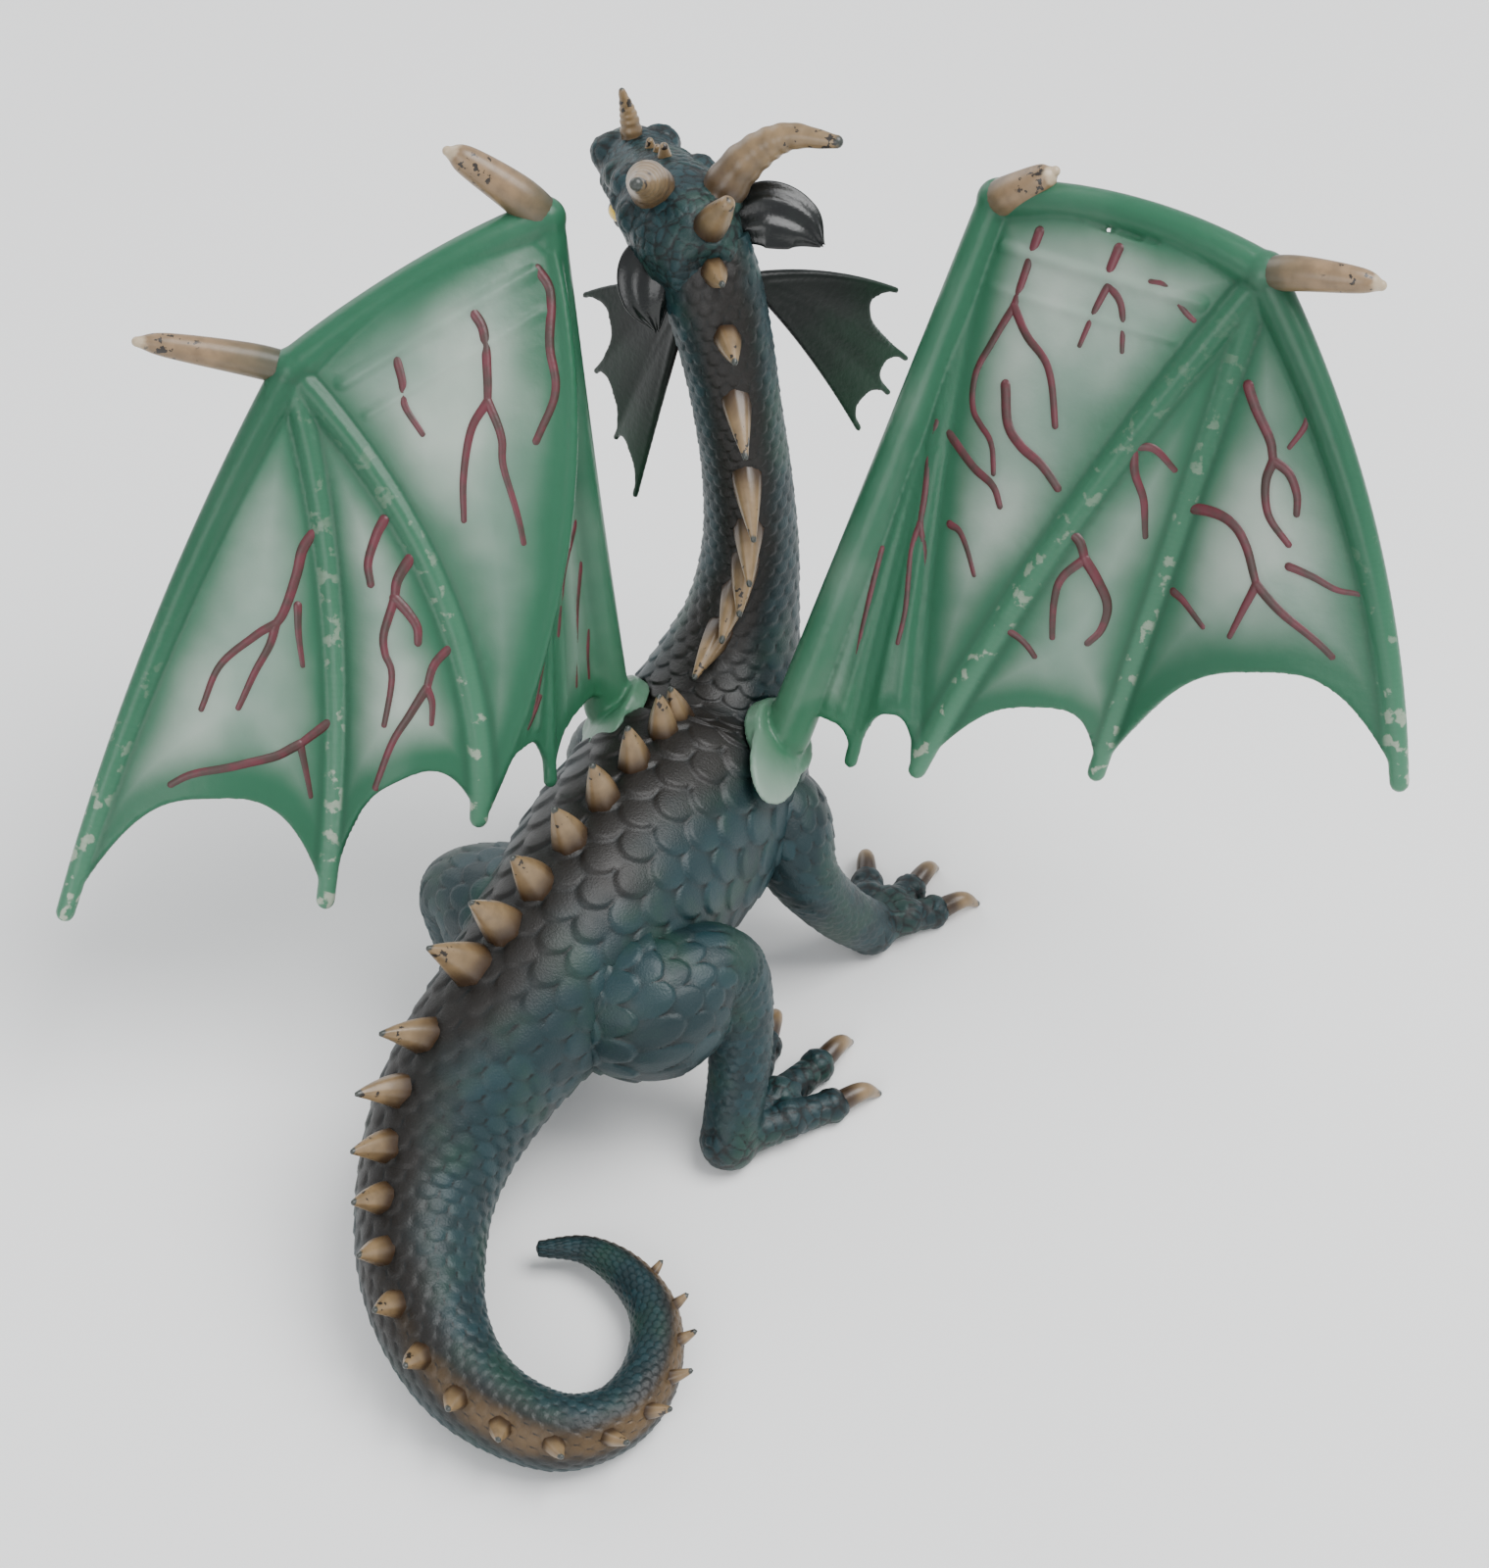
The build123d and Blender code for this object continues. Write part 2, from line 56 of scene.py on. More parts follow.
# Neck, trunk and tail as one line: x, y, z, half width, half height, and how
# far the ridge rolls to the figure's left, in degrees.
BODY_LINE = np.array([
    (6, -74, 131, 8.1, 8.1, -30), (3.5, -71.5, 124, 8.5, 8.7, -28),
    (0.5, -69, 114, 8.1, 8.2, -22), (-2, -67, 102, 7.7, 7.7, -17),
    (-4, -66, 88, 7.9, 7.9, -15), (-5, -64.5, 73, 8.7, 9, -5),
    (-4.5, -60.5, 60, 10.4, 11, 12), (-3, -55, 50, 13.8, 14, 13),
    (-1.5, -47.5, 42, 17.6, 17.2, 8), (-1, -38, 37, 20.5, 20.9, 4),
    (2, -26, 36, 21.1, 21.5, 4), (6, -13, 35.5, 20.5, 21.1, 6),
    (10, 1, 34.5, 18.9, 19.8, 9), (14, 13, 32.5, 17, 17.8, 13),
    (18, 22, 30, 15.3, 15.8, 17), (22, 30, 26, 14.6, 14.6, 20),
    (25.5, 40, 20, 13.3, 13.3, 24), (26, 51, 15, 11.7, 11.8, 28),
    (23.5, 62, 11.8, 10.5, 10.9, 32), (18.5, 72, 9.8, 9.1, 9.3, 37),
    (11, 80, 8.1, 7.8, 7.8, 42), (2, 84.5, 7.1, 6.8, 6.8, 47),
    (-7.5, 85.5, 6.4, 6.2, 6.2, 52), (-15, 81, 5.7, 5.4, 5.4, 56),
    (-18.5, 73.5, 5.2, 5, 5, 59), (-18.5, 65, 4.8, 4.5, 4.5, 61),
    (-15.5, 57, 4.4, 4, 4, 63), (-9, 51, 4.5, 3.3, 3.3, 65),
    (-1.5, 48.5, 4.9, 2.3, 2.3, 66), (5.8, 50, 5, 1.3, 1.3, 66),
    (6.6, 50.2, 5, 0.8, 0.8, 66), (6.9, 50.3, 5, 0.15, 0.15, 66),
], float)
NECK_END = 7.0
TORSO_END = 14.0
TAIL_END = len(BODY_LINE) - 1
SEAT_RADIUS = 8.4

# Scales: how many lie round the body, and their height and row spacing as
# shares of a scale's width
SCALE_COUNT = 18
SCALE_HEIGHT = 0.2
ROW_SHARE = 0.74


# ---------------------------------------------------------------- mesh tools
def unit(v):
    """Vectors scaled to length one."""
    return v / np.maximum(np.linalg.norm(v, axis=-1, keepdims=True), 1e-9)


def along_line(line, places):
    """Smooth values of a table of points at fractional places along it."""
    line = np.asarray(line, float)
    padded = np.vstack([2 * line[0] - line[1], line, 2 * line[-1] - line[-2]])
    index = np.clip(np.floor(places).astype(int), 0, len(line) - 2)
    f = (places - index)[:, None]
    a, b, c, d = (padded[index + k] for k in range(4))
    return 0.5 * (2 * b + (c - a) * f + (2 * a - 5 * b + 4 * c - d) * f ** 2
                  + (3 * b - a - 3 * c + d) * f ** 3)


def grid_faces(rows, ring, closed=True):
    """Quads between rings of points."""
    faces = []
    across = ring if closed else ring - 1
    for r in range(rows - 1):
        for c in range(across):
            n = (c + 1) % ring
            faces.append((r * ring + c, r * ring + n, (r + 1) * ring + n, (r + 1) * ring + c))
    return faces


def capped_faces(rows, ring):
    """Quads between rings of points, with both ends closed."""
    faces = grid_faces(rows, ring)
    faces.append(tuple(reversed(range(ring))))
    faces.append(tuple(range((rows - 1) * ring, rows * ring)))
    return faces


def tube(points, radii, ring=24, step=0.6):
    """Closed round-ended limb through points."""
    points = np.asarray(points, float)
    radii = np.asarray(radii, float)
    count = max(8, int(np.linalg.norm(np.diff(points, axis=0), axis=1).sum() / step))
    places = np.linspace(0, len(points) - 1, count)
    line = along_line(np.column_stack([points, radii]), places)
    centres, size = line[:, :3], line[:, 3]
    tangent = unit(np.gradient(centres, axis=0))
    normal = np.cross(tangent[0], UP)
    if np.linalg.norm(normal) < 0.1:
        normal = np.cross(tangent[0], REAR)
    normal = unit(normal)
    side = []
    for t in tangent:
        normal = unit(normal - t * normal.dot(t))
        side.append(normal)
    side = np.array(side)
    rings = list(zip(centres, size, side, np.cross(tangent, side)))
    first, last = rings[0], rings[-1]
    start_cap, end_cap = [], []
    for tilt in np.linspace(math.pi / 2 - 0.05, 0.3, 4):
        share = math.cos(tilt)
        drop = math.sqrt(1 - share ** 2)
        start_cap.append((first[0] - tangent[0] * first[1] * drop, first[1] * share, *first[2:]))
        end_cap.insert(0, (last[0] + tangent[-1] * last[1] * drop, last[1] * share, *last[2:]))
    rings = start_cap + rings + end_cap
    angle = np.linspace(0, 2 * math.pi, ring, endpoint=False)
    verts = []
    for centre, radius, a, b in rings:
        verts.append(centre + radius * (np.cos(angle)[:, None] * a + np.sin(angle)[:, None] * b))
    return np.vstack(verts), capped_faces(len(rings), ring)


def ball(centre, radii, axes=None, ring=24):
    """Ellipsoid with the given half sizes along three axes."""
    radii = np.ones(3) * radii
    axes = np.eye(3) if axes is None else np.array(axes)
    verts = [np.array([0, 0, -1.0])]
    rows = ring // 2
    for r in range(1, rows):
        tilt = math.pi * r / rows - math.pi / 2
        for c in range(ring):
            turn = 2 * math.pi * c / ring
            flat = math.cos(tilt)
            verts.append(np.array([math.cos(turn) * flat, math.sin(turn) * flat, math.sin(tilt)]))
    verts.append(np.array([0, 0, 1.0]))
    verts = np.array(verts) * radii @ axes + np.asarray(centre, float)
    faces = [(0, 1 + (c + 1) % ring, 1 + c) for c in range(ring)]
    for quad in grid_faces(rows - 1, ring):
        faces.append(tuple(q + 1 for q in quad))
    top = len(verts) - 1
    start = top - ring
    faces += [(top, start + c, start + (c + 1) % ring) for c in range(ring)]
    return verts, faces


def stack(parts):
    """Several (points, faces) as one."""
    verts, faces, base = [], [], 0
    for v, f in parts:
        verts.append(v)
        faces += [tuple(i + base for i in face) for face in f]
        base += len(v)
    return np.vstack(verts), faces


def new_mesh(name, verts, faces):
    """Blender mesh from points and faces."""
    mesh = bpy.data.meshes.new(name)
    mesh.from_pydata(np.asarray(verts).tolist(), [], faces)
    mesh.update()
    return mesh


def read_mesh(mesh):
    """Points and faces of a Blender mesh."""
    verts = np.empty(len(mesh.vertices) * 3)
    mesh.vertices.foreach_get("co", verts)
    return verts.reshape(-1, 3), [tuple(p.vertices) for p in mesh.polygons]


def normals_of(verts, faces):
    """Smooth outward direction at every point."""
    mesh = new_mesh("normals", verts, faces)
    out = np.empty(len(verts) * 3)
    mesh.vertices.foreach_get("normal", out)
    bpy.data.meshes.remove(mesh)
    return out.reshape(-1, 3)


def union(parts, voxel, smooth=4):
    """One skin round several overlapping closed shapes."""
    verts, faces = stack(parts)
    thing = bpy.data.objects.new("union", new_mesh("union", verts, faces))
    bpy.context.scene.collection.objects.link(thing)
    skin = thing.modifiers.new("skin", "REMESH")
    skin.mode = "VOXEL"
    skin.voxel_size = voxel
    soft = thing.modifiers.new("soft", "SMOOTH")
    soft.iterations = smooth
    graph = bpy.context.evaluated_depsgraph_get()
    mesh = bpy.data.meshes.new_from_object(thing.evaluated_get(graph), depsgraph=graph)
    result = read_mesh(mesh)
    bpy.data.objects.remove(thing)
    bpy.data.meshes.remove(mesh)
    return result


def piece(name, shape, body, material, nodes=(), marks=None):
    """A finished piece: its mesh and marks, the body it rides on, the nodes it
    replaces.  Flat shading is kept for the large end caps."""
    verts, faces = shape
    mesh = new_mesh(name, (verts + SHIFT) / 1000, faces)
    mesh.polygons.foreach_set("use_smooth", [len(face) <= 4 for face in faces])
    for key, values in (marks or {}).items():
        layer = mesh.attributes.new(key, "FLOAT", "POINT")
        layer.data.foreach_set("value", np.asarray(values, np.float32))
    mesh.materials.append(material)
    thing = bpy.data.objects.new(name, mesh)
    bpy.context.scene.collection.objects.link(thing)
    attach(thing, body)
    if nodes:
        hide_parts(*nodes)
    return thing


# ----------------------------------------------------------------- materials
def nodes_for(name, rough, coat=0.0):
    """A new material with its node tree and its shader."""
    material = bpy.data.materials.new(name)
    material.use_nodes = True
    tree = material.node_tree
    shader = tree.nodes["Principled BSDF"]
    shader.inputs["Roughness"].default_value = rough
    shader.inputs["Coat Weight"].default_value = coat
    shader.inputs["Coat Roughness"].default_value = 0.25
    return material, tree, shader


def add(tree, kind, **settings):
    """A new node, with sockets and options set by name."""
    node = tree.nodes.new(kind)
    for key, value in settings.items():
        if key in node.inputs:
            node.inputs[key].default_value = value
        else:
            setattr(node, key, value)
    return node


def mark(tree, name):
    """One of the values that a piece carries at its points."""
    return add(tree, "ShaderNodeAttribute", attribute_name=name).outputs["Fac"]


def grain(tree, scale, detail=4.0):
    """Noise fixed to the object, scale in features per metre."""
    place = add(tree, "ShaderNodeTexCoord")
    cloud = add(tree, "ShaderNodeTexNoise", Scale=scale, Detail=detail)
    tree.links.new(place.outputs["Object"], cloud.inputs["Vector"])
    return cloud.outputs["Fac"]


def ramp(tree, value, low, high):
    """0 below low and 1 above high, or the other way round."""
    node = add(tree, "ShaderNodeMapRange")
    node.interpolation_type = "SMOOTHSTEP"
    node.inputs["From Min"].default_value = min(low, high)
    node.inputs["From Max"].default_value = max(low, high)
    node.inputs["To Min"].default_value = 0.0 if low < high else 1.0
    node.inputs["To Max"].default_value = 1.0 if low < high else 0.0
    tree.links.new(value, node.inputs["Value"])
    return node.outputs["Result"]


def maths(tree, operation, a, b):
    """A sum, difference or product of two values."""
    node = add(tree, "ShaderNodeMath", operation=operation)
    for socket, value in zip(node.inputs, (a, b)):
        if isinstance(value, (int, float)):
            socket.default_value = value
        else:
            tree.links.new(value, socket)
    return node.outputs[0]


def uneven(tree, value, scale, amount, detail=4.0):
    """A value with some grain added to it."""
    return maths(tree, "ADD", value, maths(tree, "MULTIPLY", grain(tree, scale, detail), amount))


def blend(tree, share, a, b):
    """Colour a where share is 0 and b where it is 1."""
    node = add(tree, "ShaderNodeMix", data_type="RGBA")
    tree.links.new(share, node.inputs["Factor"])
    for name, value in (("A", a), ("B", b)):
        socket = [s for s in node.inputs if s.name == name and s.type == "RGBA"][0]
        if isinstance(value, tuple):
            socket.default_value = (*value, 1.0)
        else:
            tree.links.new(value, socket)
    return [s for s in node.outputs if s.type == "RGBA"][0]


def bump(tree, shader, height, strength, distance):
    """Fine surface texture."""
    node = add(tree, "ShaderNodeBump", Strength=strength, Distance=distance)
    tree.links.new(height, node.inputs["Height"])
    tree.links.new(node.outputs["Normal"], shader.inputs["Normal"])


def skin_material():
    """Teal vinyl: painted shade between the scales, brown airbrush along the ridge."""
    material, tree, shader = nodes_for("body_vinyl", 0.42)
    shader.inputs["Specular IOR Level"].default_value = 0.42
    tone = mark(tree, "tone")
    colour = blend(tree, tone, (0.0025, 0.014, 0.017), (0.006, 0.030, 0.036))
    cloud = grain(tree, 90)
    colour = blend(tree, ramp(tree, cloud, 0.45, 0.7), colour, (0.008, 0.034, 0.026))
    shade = uneven(tree, mark(tree, "shade"), 60, 0.5)
    colour = blend(tree, ramp(tree, shade, 0.78, 1.2), colour, (0.006, 0.0045, 0.003))
    warm = uneven(tree, mark(tree, "warm"), 110, 0.4)
    colour = blend(tree, ramp(tree, warm, 0.85, 1.3), colour, (0.10, 0.060, 0.024))
    # Painted shade: near-black where the height mark is low, in the gaps between the scales.
    colour = blend(tree, ramp(tree, mark(tree, "height"), 0.5, 0.1), colour, (0.001, 0.003, 0.003))
    tree.links.new(colour, shader.inputs["Base Color"])
    rough = add(tree, "ShaderNodeMapRange")
    rough.inputs["To Min"].default_value = 0.34
    rough.inputs["To Max"].default_value = 0.58
    tree.links.new(grain(tree, 260), rough.inputs["Value"])
    tree.links.new(rough.outputs["Result"], shader.inputs["Roughness"])
    bump(tree, shader, grain(tree, 2600, 6), 0.25, 0.0004)
    return material


def horn_material(name, light, dark, tip):
    """Painted horn: dark at the root, tan above, chipped towards the tip."""
    material, tree, shader = nodes_for(name, 0.4, 0.2)
    along = mark(tree, "along")
    streak = grain(tree, 420, 6)
    colour = blend(tree, ramp(tree, streak, 0.3, 0.75), light, tuple(c * 0.68 for c in light))
    root = maths(tree, "SUBTRACT", 1.0, uneven(tree, along, 160, 0.3))
    colour = blend(tree, ramp(tree, root, 0.25, 0.8), colour, dark)
    specks = ramp(tree, grain(tree, 700, 3), 0.52, 0.66)
    chips = maths(tree, "ADD", specks, ramp(tree, along, 0.2, 1.0))
    colour = blend(tree, ramp(tree, chips, 1.45, 1.6), colour, (0.015, 0.010, 0.006))
    end = uneven(tree, along, 500, 0.1)
    colour = blend(tree, ramp(tree, end, 0.99, 1.03), colour, tip)
    tree.links.new(colour, shader.inputs["Base Color"])
    bump(tree, shader, streak, 0.3, 0.0003)
    return material


def wing_material():
    """Translucent green vinyl, milky in the webs and worn pale on the ribs, with painted shade along the
    creases beside the fingers.
    """
    material, tree, shader = nodes_for("wing_vinyl", 0.33, 0.1)
    edge = uneven(tree, mark(tree, "edge"), 45, 0.55, 3)
    clouds = ramp(tree, grain(tree, 38, 3), 0.35, 0.65)
    milky = blend(tree, clouds, (0.22, 0.32, 0.26), (0.42, 0.49, 0.43))
    colour = blend(tree, ramp(tree, edge, 0.3, 1.05), milky, (0.030, 0.135, 0.072))
    colour = blend(tree, ramp(tree, mark(tree, "rib"), 0.45, 0.95), colour, (0.095, 0.25, 0.155))
    # Painted shade: a dark green line along the crease where each finger meets the web.
    colour = blend(tree, mark(tree, "crease"), colour, (0.025, 0.10, 0.055))
    deep = uneven(tree, mark(tree, "deep"), 30, 0.3, 2)
    colour = blend(tree, ramp(tree, deep, 0.8, 1.35), colour, (0.030, 0.150, 0.070))
    raised = ramp(tree, mark(tree, "rib"), 0.5, 0.9)
    worn = maths(tree, "MULTIPLY", raised, ramp(tree, grain(tree, 330, 6), 0.57, 0.63))
    colour = blend(tree, worn, colour, (0.52, 0.54, 0.44))
    tree.links.new(colour, shader.inputs["Base Color"])
    shader.inputs["Transmission Weight"].default_value = 0.22
    shader.inputs["IOR"].default_value = 1.3
    shader.inputs["Subsurface Weight"].default_value = 0.35
    shader.inputs["Subsurface Radius"].default_value = (0.6, 1.0, 0.8)
    shader.inputs["Subsurface Scale"].default_value = 0.002
    bump(tree, shader, grain(tree, 500, 5), 0.22, 0.0005)
    return material


def plain_material(name, colour, second, rough, coat=0.0, scale=300):
    """Paint that drifts a little between two colours, with a fine texture."""
    material, tree, shader = nodes_for(name, rough, coat)
    mixed = blend(tree, ramp(tree, grain(tree, scale), 0.35, 0.65), colour, second)
    tree.links.new(mixed, shader.inputs["Base Color"])
    bump(tree, shader, grain(tree, 1800, 5), 0.2, 0.0003)
    return material


def frill_material():
    """Near-black vinyl that turns green where it is thin."""
    material, tree, shader = nodes_for("frill_vinyl", 0.4)
    shader.inputs["Specular IOR Level"].default_value = 0.3
    value = uneven(tree, mark(tree, "along"), 120, 0.4)
    colour = blend(tree, ramp(tree, value, 0.5, 1.3), (0.002, 0.004, 0.003), (0.006, 0.040, 0.018))
    tree.links.new(colour, shader.inputs["Base Color"])
    bump(tree, shader, grain(tree, 900, 5), 0.25, 0.0004)
    return material


def eye_material():
    """Yellow eye with a dark slit."""
    material, tree, shader = nodes_for("eye_paint", 0.12, 0.8)
    slit = ramp(tree, mark(tree, "slit"), 0.42, 0.5)
    colour = blend(tree, slit, (0.78, 0.52, 0.06), (0.01, 0.008, 0.005))
    tree.links.new(colour, shader.inputs["Base Color"])
    return material


# ---------------------------------------------------------------------- body
def turned(v, axis, degrees):
    """Vectors turned right-handed about their own axes."""
    a = np.radians(degrees)[:, None]
    return v * np.cos(a) + np.cross(axis, v) * np.sin(a)


def ridge_frame(places):
    """Centre, direction, ridge direction, side, and half sizes along the body."""
    line = along_line(BODY_LINE, places)
    ahead = unit(along_line(BODY_LINE, np.clip(places + 0.05, 0, TAIL_END))[:, :3]
                 - along_line(BODY_LINE, np.clip(places - 0.05, 0, TAIL_END))[:, :3])
    # The ridge faces rearwards up the neck and upwards from the shoulders on.
    share = np.clip((places - 6.5) / 2.5, 0, 1)[:, None]
    top = REAR * (1 - share) + UP * share
    top = unit(top - ahead * (top * ahead).sum(axis=1)[:, None])
    top = turned(top, ahead, line[:, 5])
    return line[:, :3], ahead, top, np.cross(ahead, top), line[:, 3], line[:, 4]


def scale_rows():
    """Row number of the scales as a function of the place along the body."""
    places = np.linspace(0, TAIL_END, 4000)
    line = along_line(BODY_LINE, places)
    steps = np.linalg.norm(np.diff(line[:, :3], axis=0), axis=1)
    pitch = np.maximum(math.pi * (line[:, 3] + line[:, 4]) / SCALE_COUNT * ROW_SHARE, 1.5)
    rows = np.concatenate([[0], np.cumsum(steps / (0.5 * (pitch[1:] + pitch[:-1])))])
    return places, rows, pitch


ROW_PLACES, ROW_NUMBERS, ROW_PITCH = scale_rows()


def shingle(u, v):
    """Height of overlapping rounded scales, 0 in the gaps to 1 at a free edge,
    with a random number for the scale on top."""
    best = np.zeros_like(u)
    tone = np.zeros_like(u)
    for back in (0, 1):
        row = np.floor(v) - back
        t = v - row
        shifted = u + 0.5 * (row % 2)
        column = np.floor(shifted)
        d = 2 * np.abs(shifted - column - 0.5)
        reach = 1.0 + 0.75 * np.sqrt(1 - 0.98 * d ** 2)
        rise = np.clip(t / 1.75, 0, 1) ** 0.9 * (1 - 0.3 * d ** 2)
        height = rise * np.clip((reach - t) / 0.14, 0, 1) ** 0.6
        seed = np.sin((column % SCALE_COUNT) * 12.9898 + row * 78.233) * 43758.5453
        over = height > best
        best = np.where(over, height, best)
        tone = np.where(over, seed - np.floor(seed), tone)
    return best, tone


def body_piece(start, end, ring, per_row):
    """Skin from one place on the body line to another, with its marks."""
    first, last = np.interp([start, end], ROW_PLACES, ROW_NUMBERS)
    # Ends that meet another piece run half a row into it, and draw in a little.
    begin, finish = first - 0.5 * (start > 0), last + 0.5 * (end < TAIL_END)
    rows = np.linspace(begin, finish, int((last - first) * per_row))
    count = len(rows)
    places = np.interp(rows, ROW_NUMBERS, ROW_PLACES)
    centre, ahead, top, side, wide, tall = ridge_frame(places)
    pitch = np.interp(places, ROW_PLACES, ROW_PITCH)
    tuck = 1 - 0.05 * np.clip(np.maximum(first - rows, rows - last), 0, 0.5)
    wide, tall = wide * tuck, tall * tuck
    angle = np.linspace(0, 2 * math.pi, ring, endpoint=False)
    u, v = np.meshgrid(angle / (2 * math.pi) * SCALE_COUNT, rows)
    height, tone = shingle(u, v)
    lift = height * pitch[:, None] * SCALE_HEIGHT
    across = np.sin(angle)[None, :] * (wide[:, None] + lift)
    above = np.cos(angle)[None, :] * (tall[:, None] + lift)
    sideways = across[:, :, None] * side[:, None, :]
    verts = (centre[:, None, :] + sideways + above[:, :, None] * top[:, None, :]).reshape(-1, 3)
    verts[:, 2] = np.maximum(verts[:, 2], 0.05)
    shade = (0.5 + 0.5 * np.cos(angle))[None, :] ** 2.2 * np.ones((count, 1))
    late = np.clip((places - 13) / 8, 0, 1)[:, None]
    warm = (0.5 + 0.5 * np.cos(angle))[None, :] ** 5 * late
    # The height mark also sets the painted shade in the gaps between the scales.
    marks = {"height": height, "tone": tone, "shade": shade, "warm": warm}
    return (verts, capped_faces(count, ring)), {key: values.ravel() for key, values in marks.items()}


def pebbled(shape, size, amount, down):
    """Lays small overlapping scales over a skin, and returns its marks."""
    verts, faces = shape
    normal = normals_of(verts, faces)
    down = unit(np.asarray(down, float))
    height = np.empty(len(verts))
    tone = np.empty(len(verts))
    for index, point in enumerate(verts / size):
        distance, cells = noise.voronoi(Vector(point))
        gap = min(1.0, (distance[1] - distance[0]) * 3.2)
        lean = (point - np.array(cells[0])).dot(down)
        height[index] = max(0.0, min(1.0, gap ** 0.5 * (0.62 + 0.45 * lean)))
        cell = math.sin(cells[0][0] * 12.98 + cells[0][1] * 78.2 + cells[0][2] * 37.7) * 43758.5
        tone[index] = cell - math.floor(cell)
    verts = verts + normal * (height * amount)[:, None]
    verts[:, 2] = np.maximum(verts[:, 2], 0)
    shade = np.full(len(verts), 0.12)
    # The height mark also sets the painted shade in the gaps between the pebbles.
    return (verts, faces), {"height": height, "tone": tone, "shade": shade, "warm": shade * 0}


LIMB_STEPS = 160
ANKLE_STEP = 146


def limb_scaled(shape, points, radii, columns, toe_size):
    """Lays scales along a limb, and smaller pebbles on whatever is far from it."""
    verts, faces = shape
    line = along_line(np.column_stack([points, radii]), np.linspace(0, len(points) - 1, LIMB_STEPS))
    centres, size = line[:, :3], line[:, 3]
    steps = np.linalg.norm(np.diff(centres, axis=0), axis=1)
    pitch = 2 * math.pi * size / columns * ROW_SHARE
    rows = np.concatenate([[0], np.cumsum(steps / pitch[1:])])
    ahead = unit(np.gradient(centres, axis=0))
    side = unit(np.cross(ahead, (0.3, 0.1, 1)))
    other = np.cross(ahead, side)
    nearest = np.empty(len(verts), int)
    for start in range(0, len(verts), 5000):
        part = verts[start:start + 5000, None, :] - centres[None, :, :]
        nearest[start:start + 5000] = (part ** 2).sum(axis=2).argmin(axis=1)
    away = verts - centres[nearest]
    u = np.arctan2((away * other[nearest]).sum(axis=1), (away * side[nearest]).sum(axis=1))
    v = rows[nearest] + (away * ahead[nearest]).sum(axis=1) / pitch[nearest]
    height, tone = shingle(u / (2 * math.pi) * columns + 50 * columns, v + 50)
    (pebbly, faces), marks = pebbled(shape, toe_size, 0.4, -UP)
    lifted = verts + normals_of(verts, faces) * (height * pitch[nearest] * SCALE_HEIGHT)[:, None]
    share = np.clip((np.linalg.norm(away, axis=1) / size[nearest] - 1.15) / 0.25, 0, 1)
    share = np.maximum(share, np.clip((nearest - ANKLE_STEP) / 10, 0, 1))
    lifted = lifted * (1 - share[:, None]) + pebbly * share[:, None]
    lifted[:, 2] = np.maximum(lifted[:, 2], 0)
    marks["height"] = height * (1 - share) + marks["height"] * share
    marks["tone"] = tone * (1 - share) + marks["tone"] * share
    marks["shade"] = 0.12 + 0.35 * share
    return (lifted, faces), marks


SKIN = skin_material()
HORN = horn_material("horn_paint", (0.22, 0.145, 0.07), (0.035, 0.018, 0.007), (0.03, 0.035, 0.03))
WING = wing_material()
VEIN = plain_material("wing_vein_paint", (0.10, 0.017, 0.026), (0.045, 0.022, 0.018), 0.4)
WING_CLAW = horn_material("wing_claw_paint", (0.24, 0.155, 0.08), (0.035, 0.040, 0.022), (0.42, 0.33, 0.22))
EAR = plain_material("ear_vinyl", (0.002, 0.003, 0.003), (0.006, 0.008, 0.007), 0.26)
FRILL = frill_material()
THROAT = plain_material("throat_paint", (0.35, 0.035, 0.015), (0.22, 0.02, 0.012), 0.45)
EYE = eye_material()

# Ends on the body line, points round, and rings of points to a row of scales
BODY_PIECES = {
    "neck": (0, NECK_END, 162, 7),
    "torso": (NECK_END, TORSO_END, 306, 12),
    "tail": (TORSO_END, TAIL_END, 144, 6),
}
for title, sizes in BODY_PIECES.items():
    skin, skin_marks = body_piece(*sizes)
    if title == "torso":
        # Each wing's boss turns in a flat round seat in the shoulder.
        for name in ("left_wing_swing", "right_wing_swing"):
            way = AXIS[name] if AXIS[name][2] > 0 else -AXIS[name]
            reach = skin[0] - (JOINT[name] - SHIFT)
            out = reach @ way
            radial = np.linalg.norm(reach - out[:, None] * way, axis=1)
            inside = (radial < SEAT_RADIUS) & (out > 0)
            skin[0][inside] -= out[inside, None] * way
    piece(title + "_skin", skin, FIGURE, SKIN, (title,), skin_marks)


# --------------------------------------------------------------------- spines
SPINE_SINK = 2.5
SPINE_STEPS = 16
SPINE_RING = 20


def spine_shape(place, size, lean):
    """One leaf-shaped spine standing on the ridge, leaning rearwards."""
    centre, ahead, top, side, wide, tall = (a[0] for a in ridge_frame(np.array([place])))
    foot = centre + top * (tall - SPINE_SINK)
    rise = SPINE_SINK + size
    steps = np.linspace(0, 1, SPINE_STEPS)
    lines = foot + np.outer(steps * rise, top) + np.outer(steps ** 1.7 * size * lean, ahead)
    long_half = size * 0.36 * (1 - steps ** 1.7) + 0.5
    wide_half = size * 0.30 * (1 - steps ** 1.5) + 0.45
    angle = np.linspace(0, 2 * math.pi, SPINE_RING, endpoint=False)
    flutes = 1 + 0.05 * np.cos(angle * 6 + place * 5)
    verts = []
    for middle, a, b in zip(lines, long_half, wide_half):
        along = np.outer(np.cos(angle) * a * flutes, ahead)
        verts.append(middle + along + np.outer(np.sin(angle) * b * flutes, side))
    verts = np.vstack(verts + [lines[-1][None, :] + top * 0.5])
    faces = grid_faces(SPINE_STEPS, SPINE_RING)
    faces.append(tuple(reversed(range(SPINE_RING))))
    tip = SPINE_STEPS * SPINE_RING
    last = tip - SPINE_RING
    faces += [(tip, last + c, last + (c + 1) % SPINE_RING) for c in range(SPINE_RING)]
    height = np.clip((np.repeat(steps, SPINE_RING) * rise - SPINE_SINK) / size, 0, 1)
    return (verts, faces), np.append(height, 1.0)


